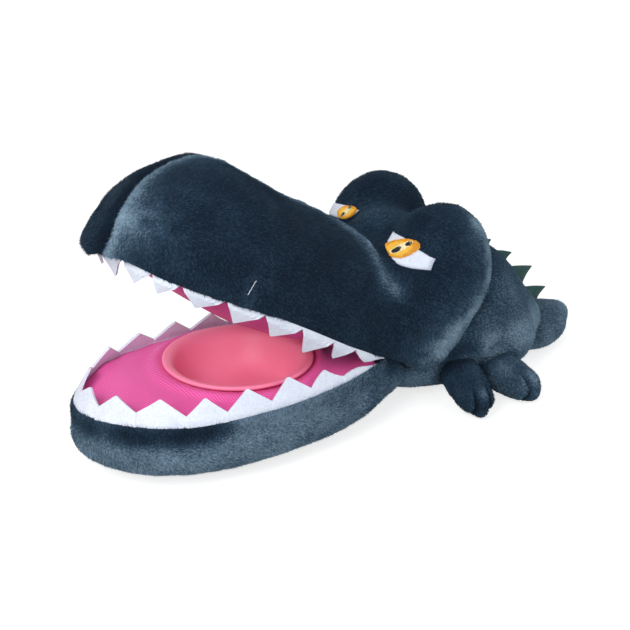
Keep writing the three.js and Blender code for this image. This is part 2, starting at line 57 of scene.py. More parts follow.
# The mouth's hinge line and how far the head is turned open about it
HINGE = np.array((-0.0095, 0.0, 0.054))
MOUTH_OPENING = math.radians(29.5)
# What is left of the opening at the hinge's lower limit, 8 degrees further shut
LEAST_OPENING = math.radians(29.5 - 8)


def add_camera():
    data = bpy.data.cameras.new("camera")
    data.lens = CAMERA_LENS
    data.sensor_width = CAMERA_SENSOR
    camera = bpy.data.objects.new("camera", data)
    bpy.context.scene.collection.objects.link(camera)
    away = Vector((
        math.sin(CAMERA_AZIMUTH) * math.cos(CAMERA_ELEVATION),
        -math.cos(CAMERA_AZIMUTH) * math.cos(CAMERA_ELEVATION),
        math.sin(CAMERA_ELEVATION),
    ))
    camera.location = CAMERA_TARGET + away * CAMERA_DISTANCE
    camera.rotation_euler = (-away).to_track_quat("-Z", "Y").to_euler()
    bpy.context.scene.camera = camera


add_camera()


# Mesh helpers


def link(name, mesh):
    piece = bpy.data.objects.new(name, mesh)
    bpy.context.scene.collection.objects.link(piece)
    return piece


def read(items, name, width, kind=float):
    """One property of all the items of a mesh, a row for each."""
    values = np.empty(len(items) * width, dtype=kind)
    items.foreach_get(name, values)
    return values.reshape(-1, width)


def coordinates(mesh):
    return read(mesh.vertices, "co", 3)


def set_coordinates(mesh, co):
    mesh.vertices.foreach_set("co", np.ascontiguousarray(co, dtype=np.float32).ravel())
    mesh.update()


def normals_of(mesh):
    return read(mesh.vertex_normals, "vector", 3)


def edges_of(mesh):
    return read(mesh.edges, "vertices", 2, np.int64)


def lay_chart(mesh, place):
    """Gives a mesh its "cloth" map, from where each of its points lies on the cloth, in metres."""
    corner = read(mesh.loops, "vertex_index", 1, np.int64).ravel()
    chart = mesh.uv_layers.new(name="cloth")
    chart.data.foreach_set("uv", np.ascontiguousarray(place[corner], dtype=np.float32).ravel())


def closed_copy(node_name, grow=0.0):
    """A CAD node's mesh with its loose triangles joined, grown outwards."""
    work = bmesh.new()
    work.from_mesh(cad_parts[node_name].data)
    bmesh.ops.remove_doubles(work, verts=work.verts, dist=1e-6)
    if grow:
        work.normal_update()
        shifts = [v.normal * grow for v in work.verts]
        for v, shift in zip(work.verts, shifts):
            v.co += shift
    mesh = bpy.data.meshes.new(node_name + "_copy")
    work.to_mesh(mesh)
    work.free()
    return link(node_name + "_copy", mesh)


def applied(piece):
    """Turns a piece and its modifiers into a plain mesh."""
    graph = bpy.context.evaluated_depsgraph_get()
    mesh = bpy.data.meshes.new_from_object(piece.evaluated_get(graph), depsgraph=graph)
    old = piece.data
    piece.modifiers.clear()
    piece.data = mesh
    bpy.data.meshes.remove(old)
    return piece


def modified(piece, kind, **settings):
    """Runs one modifier on a piece and keeps the result as a plain mesh."""
    modifier = piece.modifiers.new(kind.lower(), kind)
    for name, value in settings.items():
        setattr(modifier, name, value)
    return applied(piece)


def renamed(piece, name):
    piece.name = name
    piece.data.name = name
    return piece


def joined(pieces, name):
    """The union of some closed pieces."""
    first = pieces[0]
    for other in pieces[1:]:
        modified(first, "BOOLEAN", operation="UNION", solver="EXACT", object=other)
        bpy.data.objects.remove(other)
    return renamed(first, name)


def remeshed(piece, voxel):
    return modified(piece, "REMESH", mode="VOXEL", voxel_size=voxel)


def refined(piece):
    return modified(piece, "SUBSURF", levels=1, render_levels=1)


def neighbour_means(co, edges):
    a, b = edges.T
    total = np.stack([
        np.bincount(a, axis[b], len(co)) + np.bincount(b, axis[a], len(co)) for axis in co.T
    ], axis=1)
    count = np.bincount(edges.ravel(), minlength=len(co))
    return total / np.maximum(count, 1)[:, None]


# How far a point moves towards its neighbours' middle in one round of smoothing, and how much of the
# shrinking a round gives back where the whole form has to keep its size
RELAX_STEP = 0.5
KEEP_SIZE = 1.04


def relaxed(mesh, rounds, weight=None, keep=0.0):
    """Moves each point towards the middle of its neighbours, as far as its weight says. keep is how much of
    the shrinking each round gives back."""
    co = coordinates(mesh)
    edges = edges_of(mesh)
    step = RELAX_STEP if weight is None else RELAX_STEP * weight[:, None]
    for _ in range(rounds):
        co = co + step * (neighbour_means(co, edges) - co)
        if keep:
            co = co - keep * step * (neighbour_means(co, edges) - co)
    set_coordinates(mesh, co)


def pushed(mesh, distance):
    """Moves each point out along the surface's normal."""
    set_coordinates(mesh, coordinates(mesh) + normals_of(mesh) * np.asarray(distance).reshape(-1, 1))


def smooth_shaded(piece):
    piece.data.polygons.foreach_set("use_smooth", [True] * len(piece.data.polygons))
    return piece


def paint(mesh, name, values):
    attribute = mesh.attributes.get(name) or mesh.attributes.new(name, "FLOAT", "POINT")
    attribute.data.foreach_set("value", np.ascontiguousarray(values, dtype=np.float32))


def tilted(co, angle):
    """Points turned about the Y axis."""
    c, s = math.cos(angle), math.sin(angle)
    return np.stack((co[:, 0] * c + co[:, 2] * s, co[:, 1], -co[:, 0] * s + co[:, 2] * c), axis=1)


def to_head(co):
    """Points in the head's own frame, where its gum is level and the hinge is at the origin."""
    return tilted(co - HINGE, -MOUTH_OPENING)


def from_head(co):
    return tilted(co, MOUTH_OPENING) + HINGE


def line_distance(co, points):
    """How far each point is from a line of straight stretches."""
    points = np.asarray(points, dtype=float)
    best = np.full(len(co), np.inf)
    for a, b in zip(points[:-1], points[1:]):
        along = b - a
        share = np.clip(((co - a) @ along) / np.linalg.norm(along) ** 2, 0, 1)
        best = np.minimum(best, np.linalg.norm(co - (a + share[:, None] * along), axis=1))
    return best


# The cloth simulation that fills a skin: its frames, the stuffing's pressure and how the cloth resists it.
# Points held less than the least are free.
FILLING_FRAMES = 16
FILLING_PRESSURE = 4.0
CLOTH_STIFFNESS = 15.0
CLOTH_SETTINGS = {
    "quality": 4, "mass": 0.3, "tension_stiffness": CLOTH_STIFFNESS, "compression_stiffness": CLOTH_STIFFNESS,
    "shear_stiffness": CLOTH_STIFFNESS / 3, "bending_stiffness": 0.6, "use_pressure": True,
    "uniform_pressure_force": FILLING_PRESSURE, "vertex_group_mass": "held", "pin_stiffness": 1,
}
HELD_LEAST = 0.02


def inflated(piece, held, cap):
    """Fills a piece with the pressure of its stuffing, while the held points stay where they are. No point
    moves further than the cap."""
    before = coordinates(piece.data)
    group = piece.vertex_groups.new(name="held")
    for i in np.nonzero(held > HELD_LEAST)[0]:
        group.add([int(i)], float(min(1.0, held[i])), "REPLACE")
    cloth = piece.modifiers.new("stuffing", "CLOTH")
    for name, value in CLOTH_SETTINGS.items():
        setattr(cloth.settings, name, value)
    cloth.settings.effector_weights.gravity = 0
    cloth.point_cache.frame_start = 1
    cloth.point_cache.frame_end = FILLING_FRAMES
    scene = bpy.context.scene
    for number in range(1, FILLING_FRAMES + 1):
        scene.frame_set(number)
    applied(piece)
    scene.frame_set(1)
    piece.vertex_groups.clear()
    moved = coordinates(piece.data) - before
    length = np.linalg.norm(moved, axis=1, keepdims=True)
    set_coordinates(piece.data, before + moved * (np.minimum(length, cap) / np.maximum(length, 1e-9)))
    return piece


def gaussian(distance, width):
    return np.exp(-(distance / width) ** 2)


def smoothstep(low, high, x):
    t = np.clip((x - low) / (high - low), 0, 1)
    return t * t * (3 - 2 * t)


def spot(co, middle, half):
    """1 in the middle of an ellipsoid given in millimetres, less away from it."""
    offset = (co - np.array(middle) * MM) / (np.array(half) * MM)
    return np.exp(-np.linalg.norm(offset, axis=1) ** 2)


def wobble(co, size, seed):
    """Smooth noise from -1 to 1 at each point."""
    shift = Vector((seed * 7.3, seed * 3.1, seed * 5.7))
    return np.array([noise.noise(Vector(p) / size + shift) for p in co])


# Materials


def srgb(*values):
    """A colour given as 0 to 255 on a screen."""
    return tuple(
        (v / 255 / 12.92) if v <= 10 else ((v / 255 + 0.055) / 1.055) ** 2.4 for v in values
    ) + (1.0,)


def node(tree, kind, **values):
    """A shader node, with inputs or settings by name."""
    made = tree.nodes.new(kind)
    for name, value in values.items():
        title = name.replace("_", " ").title()
        if hasattr(made, name):
            setattr(made, name, value)
        else:
            made.inputs[title].default_value = value
    return made


def wire(tree, *pairs):
    for source, target in pairs:
        tree.links.new(source, target)


def maths(tree, operation, *values, clamp=False):
    made = tree.nodes.new("ShaderNodeMath")
    made.operation = operation
    made.use_clamp = clamp
    for i, value in enumerate(values):
        if isinstance(value, (int, float)):
            made.inputs[i].default_value = value
        else:
            tree.links.new(value, made.inputs[i])
    return made.outputs[0]


def weighted(tree, base, *terms, clamp=False):
    """A base value with each term's socket added, times the term's share."""
    total = base
    for number, (socket, share) in enumerate(terms, 1):
        total = maths(tree, "MULTIPLY_ADD", socket, share, total, clamp=clamp and number == len(terms))
    return total


def node_group(kind, name, inputs, outputs):
    """An empty node group with named inputs and outputs. Each is (name, kind, value) or (name, kind)."""
    group = bpy.data.node_groups.new(name, kind)
    for title, socket_kind, *value in inputs:
        socket = group.interface.new_socket(title, in_out="INPUT", socket_type="NodeSocket" + socket_kind)
        if value:
            socket.default_value = value[0]
    for title, socket_kind in outputs:
        group.interface.new_socket(title, in_out="OUTPUT", socket_type="NodeSocket" + socket_kind)
    return group, group.nodes.new("NodeGroupInput"), group.nodes.new("NodeGroupOutput")


def pile_group():
    """Short pile: broad patches where the nap lies differently, small tufts, and the fibres' height."""
    sizes = (("Patch Size", "Float", 0.03), ("Tuft Size", "Float", 0.0016), ("Fibre Size", "Float", 0.0005))
    group, given, out = node_group(
        "ShaderNodeTree", "pile", (("Vector", "Vector"), *sizes),
        (("Patches", "Float"), ("Tufts", "Float"), ("Height", "Float")),
    )
    layers = []
    for (title, _, _), detail, distortion in zip(sizes, (4.0, 3.0, 1.0), (0.6, 0.2, 0.0)):
        layer = node(group, "ShaderNodeTexNoise", detail=detail, distortion=distortion, roughness=0.6)
        scale = maths(group, "DIVIDE", 1.0, given.outputs[title])
        wire(group, (given.outputs["Vector"], layer.inputs["Vector"]), (scale, layer.inputs["Scale"]))
        layers.append(layer.outputs["Fac"])
    patches, tufts, fibres = layers
    height = weighted(group, 0.0, (tufts, 0.6), (fibres, 0.4))
    wire(group, *zip((patches, tufts, height), out.inputs))
    return group


def cloth_group():
    """Knitted mesh cloth: ribs with small holes between them, as masks over a pattern's own coordinates."""
    group, given, out = node_group(
        "ShaderNodeTree", "mesh cloth",
        (("Vector", "Vector"), ("Rib Pitch", "Float", 0.0016), ("Hole Pitch", "Float", 0.0014)),
        (("Rib", "Float"), ("Hole", "Float"), ("Height", "Float")),
    )

    def wave(value):
        return maths(group, "ABSOLUTE", maths(group, "SINE", maths(group, "MULTIPLY", value, math.pi)))

    axes = node(group, "ShaderNodeSeparateXYZ")
    wire(group, (given.outputs["Vector"], axes.inputs[0]))
    across = maths(group, "DIVIDE", axes.outputs[0], given.outputs["Rib Pitch"])
    along = maths(group, "DIVIDE", axes.outputs[1], given.outputs["Hole Pitch"])
    # the holes of every other row lie half a pitch further on
    shifted = weighted(group, along, (maths(group, "FLOOR", across), 0.5))
    rib = wave(across)
    along_rib = maths(group, "POWER", wave(shifted), 2.0)
    hole = maths(group, "MULTIPLY", maths(group, "POWER", rib, 1.5), along_rib)
    height = weighted(group, 1.0, (rib, -0.3), (hole, -0.7))
    wire(group, *zip((rib, hole, height), out.inputs))
    return group


PILE = pile_group()
MESH_WEAVE = cloth_group()


def new_material(name):
    material = bpy.data.materials.new(name)
    material.use_nodes = True
    tree = material.node_tree
    return material, tree, tree.nodes["Principled BSDF"]


def object_place(tree):
    return tree.nodes.new("ShaderNodeTexCoord").outputs["Object"]


def placed_group(tree, group, vector, **values):
    made = tree.nodes.new("ShaderNodeGroup")
    made.node_tree = group
    for name, value in values.items():
        made.inputs[name.replace("_", " ").title()].default_value = value
    wire(tree, (vector, made.inputs["Vector"]))
    return made


def colour_steps(tree, factor, steps):
    ramp = tree.nodes.new("ShaderNodeValToRGB")
    elements = ramp.color_ramp.elements
    while len(elements) < len(steps):
        elements.new(0.5)
    for element, (place, color) in zip(elements, steps):
        element.position = place
        element.color = color
    wire(tree, (factor, ramp.inputs[0]))
    return ramp.outputs[0]


def bumped(tree, shader, height, strength, distance):
    bump = node(tree, "ShaderNodeBump", strength=strength, distance=distance)
    wire(tree, (height, bump.inputs["Height"]), (bump.outputs[0], shader.inputs["Normal"]))


def fabric_shader(shader, *values):
    """Sets a fabric's roughness, sheen, the sheen's roughness and tint, and the level of its highlights."""
    names = ("Roughness", "Sheen Weight", "Sheen Roughness", "Sheen Tint", "Specular IOR Level")
    for name, value in zip(names, values):
        shader.inputs[name].default_value = value


def attribute(tree, name):
    return node(tree, "ShaderNodeAttribute", attribute_name=name).outputs["Fac"]


# How much the painted light, the pile's broad patches, its tufts and the tint of single strands change the
# tone of the plush
TONE_AND_LIGHT_SHARE, PATCH_SHARE, TUFT_SHARE, TINT_SHARE = 0.5, 0.34, 0.75, 0.17
PLUSH_TONES = (0.0, 0.34, 0.62, 1.0)
PLUSH_SHEEN = srgb(120, 152, 180)


def plush_material(name):
    """Dark blue plush, paler and darker with the highlights and shade painted on its skin over a random tone.
    """
    material, tree, shader = new_material(name)
    pile = placed_group(tree, PILE, object_place(tree))
    tone = weighted(
        tree, 0.5 - (PATCH_SHARE + TUFT_SHARE) / 2, (attribute(tree, "tone_and_painted_light"), TONE_AND_LIGHT_SHARE),
        (pile.outputs["Patches"], PATCH_SHARE), (pile.outputs["Tufts"], TUFT_SHARE), clamp=True,
    )
    colors = (srgb(9, 18, 30), srgb(21, 36, 52), srgb(48, 69, 88), srgb(124, 148, 166))
    color = colour_steps(tree, tone, tuple(zip(PLUSH_TONES, colors)))
    wire(tree, (color, shader.inputs["Base Color"]))
    fabric_shader(shader, 0.92, 0.28, 0.35, PLUSH_SHEEN, 0.1)
    bumped(tree, shader, pile.outputs["Height"], 0.75, 0.0012)
    return material


def strand_material(name):
    """The pile's strands, each a little lighter or darker, with the highlights and shade painted on their
    skin.
    """
    material, tree, shader = new_material(name)
    tone = weighted(
        tree, 0.5, (attribute(tree, "tone_and_painted_light"), TONE_AND_LIGHT_SHARE), (attribute(tree, "tint"), TINT_SHARE), clamp=True,
    )
    colors = (srgb(10, 21, 33), srgb(23, 40, 56), srgb(55, 78, 98), srgb(142, 168, 186))
    color = colour_steps(tree, tone, tuple(zip(PLUSH_TONES, colors)))
    wire(tree, (color, shader.inputs["Base Color"]))
    fabric_shader(shader, 0.85, 0.25, 0.4, PLUSH_SHEEN, 0.15)
    return material


def fibre_material(name, low, high, sizes, tuft_share, places, finish, bump):
    """A cloth of fine fibres between two colours. sizes are those of the pile group, places where the two
    colours stand on the tone, and finish and bump what fabric_shader and bumped take."""
    material, tree, shader = new_material(name)
    pile = placed_group(tree, PILE, object_place(tree), **sizes)
    tone = weighted(tree, 0.0, (pile.outputs["Patches"], 1 - tuft_share), (pile.outputs["Tufts"], tuft_share))
    wire(tree, (colour_steps(tree, tone, tuple(zip(places, (low, high)))), shader.inputs["Base Color"]))
    fabric_shader(shader, *finish)
    bumped(tree, shader, pile.outputs["Height"], *bump)
    return material


def felt_material(name, low, high, sheen):
    """Pressed felt: matted fibres without a weave."""
    sizes = {"patch_size": 0.012, "tuft_size": 0.0013, "fibre_size": 0.0003}
    return fibre_material(
        name, low, high, sizes, 0.6, (0.3, 0.65), (0.95, sheen, 0.6, (1, 1, 1, 1), 0.1), (0.45, 0.0005),
    )


def thread_material(name, low, high):
    """Satin stitch: shiny threads, each a little different."""
    sizes = {"patch_size": 0.006, "tuft_size": 0.0009, "fibre_size": 0.0003}
    return fibre_material(
        name, low, high, sizes, 0.5, (0.3, 0.7), (0.45, 0.1, 0.3, (1, 1, 1, 1), 0.4), (0.3, 0.0003),
    )


def mesh_material(name, low, middle, high):
    """Pink mesh cloth over pink stuffing, laid along its own map."""
    material, tree, shader = new_material(name)
    weave = placed_group(tree, MESH_WEAVE, node(tree, "ShaderNodeUVMap", uv_map="cloth").outputs[0])
    pile = placed_group(tree, PILE, object_place(tree), patch_size=0.05)
    tone = weighted(tree, 0.0, (weave.outputs["Height"], 0.95), (pile.outputs["Patches"], 0.35))
    color = colour_steps(tree, tone, ((0.12, low), (0.5, middle), (0.95, high)))
    wire(tree, (color, shader.inputs["Base Color"]))
    fabric_shader(shader, 0.6, 0.15, 0.4, srgb(255, 190, 225), 0.3)
    bumped(tree, shader, weave.outputs["Height"], 0.45, 0.0004)
    return material


def bowl_material():
    material, tree, shader = new_material("pink plastic")
    pile = placed_group(tree, PILE, object_place(tree), patch_size=0.06, tuft_size=0.004, fibre_size=0.0008)
    steps = ((0.3, srgb(254, 132, 166)), (0.7, srgb(255, 148, 182)))
    color = colour_steps(tree, pile.outputs["Patches"], steps)
    rough = weighted(tree, 0.38, (pile.outputs["Tufts"], 0.12))
    wire(tree, (color, shader.inputs["Base Color"]), (rough, shader.inputs["Roughness"]))
    shader.inputs["Specular IOR Level"].default_value = 0.4
    bumped(tree, shader, pile.outputs["Height"], 0.05, 0.0003)
    return material


PLUSH = plush_material("plush")
PILE_STRANDS = strand_material("plush pile strands")
FELT = felt_material("white felt", srgb(206, 212, 232), srgb(234, 240, 250), 0.2)
GREEN_FELT = felt_material("green felt", srgb(16, 56, 54), srgb(36, 86, 80), 0.3)
MESH_CLOTH = mesh_material("pink mesh", srgb(208, 38, 130), srgb(230, 68, 156), srgb(246, 118, 188))
# The palate's mesh in darker colours, as painted shade in the roof of the mouth
SHADED_PALATE_CLOTH = mesh_material("dark pink mesh", srgb(104, 8, 52), srgb(160, 26, 88), srgb(222, 78, 150))
PLASTIC = bowl_material()
YELLOW_THREAD = thread_material("yellow thread", srgb(214, 132, 10), srgb(250, 186, 44))
BRIGHT_THREAD = thread_material("bright yellow thread", srgb(248, 182, 40), srgb(255, 222, 96))
PALE_THREAD = thread_material("pale yellow thread", srgb(252, 236, 176), srgb(255, 252, 230))
WHITE_THREAD = thread_material("white thread", srgb(214, 220, 230), srgb(244, 247, 252))
BLACK_THREAD = thread_material("black thread", srgb(10, 10, 12), srgb(34, 34, 38))


def give(piece, *materials):
    piece.data.materials.clear()
    for material in materials:
        piece.data.materials.append(material)
    return piece


def finish_piece(piece, body, slot, *nodes):
    """Lets a piece ride on its body, shaded smooth, in place of some CAD nodes. Its slot is not used."""
    smooth_shaded(piece)
    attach(piece, body)
    if nodes:
        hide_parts(*nodes)
    return piece


# The outlines of the two gums, in metres: the lower in the row frame, the upper in the head's own frame
LOWER_RIM = {"centre": -0.1075, "front": 0.107, "rear": 0.138, "half": 0.069, "power": 2.2}
UPPER_RIM = {"centre": -0.105, "front": 0.111, "rear": 0.165, "half": 0.068, "power": 2.35}


def rim_norm(x, y, rim, inset):
    """1 on the outline of a gum moved in by inset, less inside it."""
    front, rear, half = rim["front"] - inset, rim["rear"] - inset, rim["half"] - inset
    flat = np.abs((x - rim["centre"]) / np.where(x < rim["centre"], front, rear)) ** rim["power"]
    return (flat + np.abs(y / half) ** rim["power"]) ** (1 / rim["power"])


def rim_inside(x, y, rim):
    """About how far inside the outline of a gum each point is."""
    return (1 - rim_norm(x, y, rim, 0)) * rim["half"]


# How far inside a gum's outline its plush lies before and after it is drawn out into the lip, in
# millimetres, and where the lip's inner side ends
LIP_BEFORE, LIP_AFTER = (-3, 0, 4, 6.5, 9), (-3.2, -1.6, -0.2, 2.6, 9)
LIP_INNER = 2.6


def with_lip(co, rim, above, rise, share):
    """Draws the plush round a gum out and up into a narrow lip outside the foot of the teeth. above is each
    point's height over the gum, rise how high the lip stands there and share how much of it each point
    takes part in. Gives the moved plan coordinates and the added height."""
    x, y = co[:, 0], co[:, 1]
    inside = rim_inside(x, y, rim)
    step = 0.0005
    out = -np.stack((rim_inside(x + step, y, rim) - inside, rim_inside(x, y + step, rim) - inside), axis=1)
    out /= np.maximum(np.linalg.norm(out, axis=1, keepdims=True), 1e-9)
    near = smoothstep(-0.013, -0.003, above) * share
    target = np.interp(inside / MM, LIP_BEFORE, LIP_AFTER) * MM
    plan = co[:, :2] + out * (near * (inside - target))[:, None]
    return plan, near * np.interp(target / MM, (0.0, LIP_INNER), (1, 0)) * rise


# The head: snout and both eye lobes in one skin. Its lines are in the head's own frame, in millimetres.

# Where the muzzle ends in a ridge before the forehead and cheek, on the left side
RIDGE = np.array((
    (-73, -13.8, 74.6), (-58, -17, 73.4), (-47.5, -22, 71.2), (-40.2, -31.7, 67.2), (-35.2, -43, 59),
    (-28.8, -49.1, 51.1), (-15.5, -52, 46.3),
)) * MM
# The seam that joins the two sides of the muzzle, from the front of the gum up and back over the top
MUZZLE_SEAM = np.array((
    (-211, -12.5, 0), (-214.3, -12.4, 7.7), (-214.8, -10.6, 14.7), (-214, -8.6, 23.1), (-210.6, -4.9, 32.6),
    (-205.7, 0.8, 40.2), (-196.5, 9.8, 49.2), (-186.5, 15, 58.5), (-178.6, 17, 64), (-168.7, 16, 70.5),
    (-158.5, 14, 75), (-140, 10, 79), (-110, 4, 80), (-80, 0, 77), (-55, 0, 70),
)) * MM
# The outer edge of the left lobe, behind and below, along which a highlight is painted
LOBE_EDGE = np.array((
    (28, -52, 112), (37, -56, 103), (49, -58, 90), (51, -62, 71), (45, -66, 54), (38, -67, 37), (37, -63, 20),
)) * MM
# Where the cheek meets the muzzle below the ridge
CHEEK_CREASE = np.array(((-15.5, -52, 46.3), (-6, -56, 34.6), (1, -58, 17.6), (4, -58, 4))) * MM
DART = np.array(((-141, -66, 19), (-139.5, -67, 10), (-137, -67, 3))) * MM


def both_sides(line):
    return [line, line * np.array((1, -1, 1))]


def nearest(co, lines):
    return np.min([line_distance(co, line) for line in lines], axis=0)


def stuffing(name, middle, half, place=None):
    """A plain ellipsoid of stuffing, to be joined to a skin."""
    work = bmesh.new()
    bmesh.ops.create_icosphere(work, subdivisions=3, radius=1)
    mesh = bpy.data.meshes.new(name)
    work.to_mesh(mesh)
    work.free()
    co = coordinates(mesh) * half + np.array(middle)
    set_coordinates(mesh, co if place is None else place(co))
    return link(name, mesh)


# How far the lower gum sags at its far front corner
DROOP = 0.0065


def gum_droop(co):
    """Points of the lower jaw let down with its gum."""
    sunk = co.copy()
    far_front = smoothstep(-0.168, -0.208, co[:, 0]) * smoothstep(-0.045, 0.030, co[:, 1])
    sunk[:, 2] -= DROOP * far_front * smoothstep(0.006, 0.036, co[:, 2])
    return sunk


# How far the upper gum arches up between the corner of the mouth and the front, by the distance before the
# hinge
ARCH_REACH = np.array((0, 45, 80, 110, 150, 185, 220)) * MM
ARCH_RISE = np.array((0, 0.5, 2.2, 3, 3, 1.2, 0)) * MM


def gum_arch(head):
    """Points of the head lifted with the arch of the gum, the less the higher above the gum they are."""
    lifted = head.copy()
    lifted[:, 2] += np.interp(-head[:, 0], ARCH_REACH, ARCH_RISE) * smoothstep(0.026, 0.004, head[:, 2])
    return lifted


# The edge of the grid that a skin is first laid on, the size of its broad unevenness, and how much the
# lobes and the body grow so that their skins join
SKIN_GRID = 0.004
ROUGH_SIZE = 0.022
LOBE_GROWTH, BODY_GROWTH = 0.0006, 0.0009


def skin_round(pieces, name):
    """One even skin round some closed pieces."""
    piece = remeshed(joined(pieces, name), SKIN_GRID)
    relaxed(piece.data, 4, keep=KEEP_SIZE)
    return piece


def head_form():
    """The snout and both eye lobes, filled, but without their seams."""
    pieces = [closed_copy("head")]
    pieces += [closed_copy(f"{hand}_eye_lobe", LOBE_GROWTH) for hand in ("left", "right")]
    pieces.append(stuffing("forehead", (0.010, 0, 0.074), (0.034, 0.028, 0.0245), from_head))
    piece = skin_round(pieces, "head_plush")
    head = to_head(coordinates(piece.data))
    ridge = nearest(head, both_sides(RIDGE))
    middle = smoothstep(-0.09, -0.05, head[:, 0]) * smoothstep(0.02, 0.05, head[:, 2])
    relaxed(piece.data, 24, middle * smoothstep(0.002, 0.014, ridge), keep=0.3)
    seam, crease = line_distance(head, MUZZLE_SEAM), nearest(head, both_sides(CHEEK_CREASE))
    at_gum = 1 - smoothstep(0.002, 0.010, head[:, 2])
    held = np.maximum(gaussian(ridge, 0.006), gaussian(seam, 0.006))
    inflated(piece, np.maximum.reduce((held, at_gum, gaussian(crease, 0.005))), cap=0.0025)
    return refined(piece)


# How far the head's skin stands out along its lines, and how wide each is, in millimetres
HEAD_RELIEF = {"ridge": (1.6, 5), "crease": (-1.2, 5), "dart": (-1.6, 3.5)}
PUCKER_PITCH, PUCKER_DEPTH = 0.0032, 0.0003


def head_relief(head, lines, rough, fine):
    """How far the skin stands out: its unevenness, its seams, its flat front and the puckers where the felt
    is sewn on over the gum."""
    x, z = head[:, 0], head[:, 2]
    above_gum = smoothstep(0.001, 0.012, z)
    on_muzzle = above_gum * smoothstep(-0.04, -0.09, x)
    move = above_gum * (0.0010 + 0.0006 * rough + 0.0004 * fine)
    beside_seam, in_seam = gaussian(lines["seam"] - 0.007, 0.004), gaussian(lines["seam"], 0.0030)
    move += on_muzzle * (0.0011 * beside_seam - 0.0030 * in_seam)
    move -= 0.0045 * spot(head, (-211, 21.7, 23), 20)
    top_of_muzzle = smoothstep(0.060, 0.074, z) * smoothstep(-0.165, -0.14, x) * smoothstep(-0.03, -0.055, x)
    move -= 0.0024 * top_of_muzzle
    for name, (height, width) in HEAD_RELIEF.items():
        move += height * MM * gaussian(lines[name], width * MM)
    pucker = np.sin(x / PUCKER_PITCH + 3 * rough) * gaussian(z - 0.006, 0.006)
    return move + PUCKER_DEPTH * pucker * above_gum


# How far the lip of plush hangs over the foot of the upper teeth, by the distance before the hinge, in
# millimetres
LIP_REACH = (0, 20, 47, 70, 91, 125, 140, 157, 180, 190, 200, 206, 212, 216)
LIP_DROP = (1.6, 1, -1, -1.2, -1.7, 0.2, 1.0, 1.6, 1.4, 1.0, -0.6, 0.5, 5, 8)
FAR_LIP_DROP = 0.0045


def upper_lip(head):
    drop = np.interp(-head[:, 0] / MM, LIP_REACH, np.array(LIP_DROP) * MM)
    drop += FAR_LIP_DROP * smoothstep(-0.010, 0.004, head[:, 1]) * smoothstep(-0.185, -0.205, head[:, 0])
    plan, lower = with_lip(head, UPPER_RIM, -head[:, 2], drop, smoothstep(0.0, -0.008, head[:, 0]))
    return gum_arch(np.column_stack((plan, head[:, 2] - lower)))


# Spots of the head with painted highlights and shade: the middle and half size in millimetres, and how much
HEAD_LIGHT_SPOTS = (
    ((-10, 0, 90), (34, 30, 20), 0.34), ((12, -16, 103), (20, 12, 12), 0.40), ((-110, -45, 60), 45, -0.14),
)


def head_tone_and_painted_light(head, lines, normal, rough, fine):
    """Painted highlights and shade over a random tone: along the seams, the ridge, the lobes' outer edges and
    in spots.
    """
    x, y, z = head.T
    before_seam = y < np.interp(z, MUZZLE_SEAM[:11, 2], MUZZLE_SEAM[:11, 1])
    on_muzzle = smoothstep(-0.04, -0.09, x)
    lobe_edge = nearest(head, both_sides(LOBE_EDGE))
    seam = lines["seam"]
    tone_and_painted_light = -0.36 + 0.13 * rough + 0.07 * fine
    # a painted highlight beside the seam on the near side, painted shade along it on the far side
    beside_seam = 0.80 * gaussian(seam - 0.005, 0.006) + 0.30 * gaussian(seam - 0.012, 0.012)
    tone_and_painted_light += before_seam * on_muzzle * beside_seam
    tone_and_painted_light -= ~before_seam * on_muzzle * 0.35 * gaussian(seam, 0.012)
    # a painted highlight on the near side of the muzzle's front
    tone_and_painted_light += spot(head, (-206, -31, 24), (20, 17, 15)) * 0.85 * (0.7 + 0.6 * fine)
    # painted highlights along the ridge and the lobes' outer edges
    tone_and_painted_light += (0.78 + 0.2 * fine) * gaussian(lines["ridge"], 0.009) * smoothstep(-0.085, -0.05, x)
    tone_and_painted_light += (0.60 + 0.3 * fine) * gaussian(lobe_edge, 0.022) + 0.56 * gaussian(lobe_edge, 0.008)
    # painted shade on top, painted highlights low at the back, where the skin faces down and beside the dart
    tone_and_painted_light -= 0.16 * smoothstep(0.085, 0.105, z) * (1 - gaussian(lobe_edge, 0.022))
    tone_and_painted_light += 0.08 * smoothstep(0.0, 0.03, x) * smoothstep(0.055, 0.02, z)
    tone_and_painted_light += 0.22 * smoothstep(-0.2, -0.7, normal[:, 2]) * smoothstep(0.0, 0.01, x)
    tone_and_painted_light += 0.3 * gaussian(lines["dart"] - 0.003, 0.002)
    return tone_and_painted_light + sum(amount * spot(head, middle, half) for middle, half, amount in HEAD_LIGHT_SPOTS)


def snout_and_lobes():
    piece = head_form()
    mesh = piece.data
    co = coordinates(mesh)
    head = to_head(co)
    lines = {
        "seam": line_distance(head, MUZZLE_SEAM), "ridge": nearest(head, both_sides(RIDGE)),
        "crease": nearest(head, both_sides(CHEEK_CREASE)), "dart": line_distance(head, DART),
    }
    rough, fine = wobble(co, ROUGH_SIZE, 3), wobble(co, 0.009, 5)
    pushed(mesh, head_relief(head, lines, rough, fine))
    head = upper_lip(to_head(coordinates(mesh)))
    set_coordinates(mesh, from_head(head))
    paint(mesh, "tone_and_painted_light", head_tone_and_painted_light(head, lines, normals_of(mesh), rough, fine))
    return piece


def soft_copy(node_name, voxel, rounds):
    """A CAD node's form in an even skin of its own."""
    piece = remeshed(renamed(closed_copy(node_name), node_name + "_plush"), voxel)
    relaxed(piece.data, rounds, keep=KEEP_SIZE)
    return piece


# The lower jaw and the torso

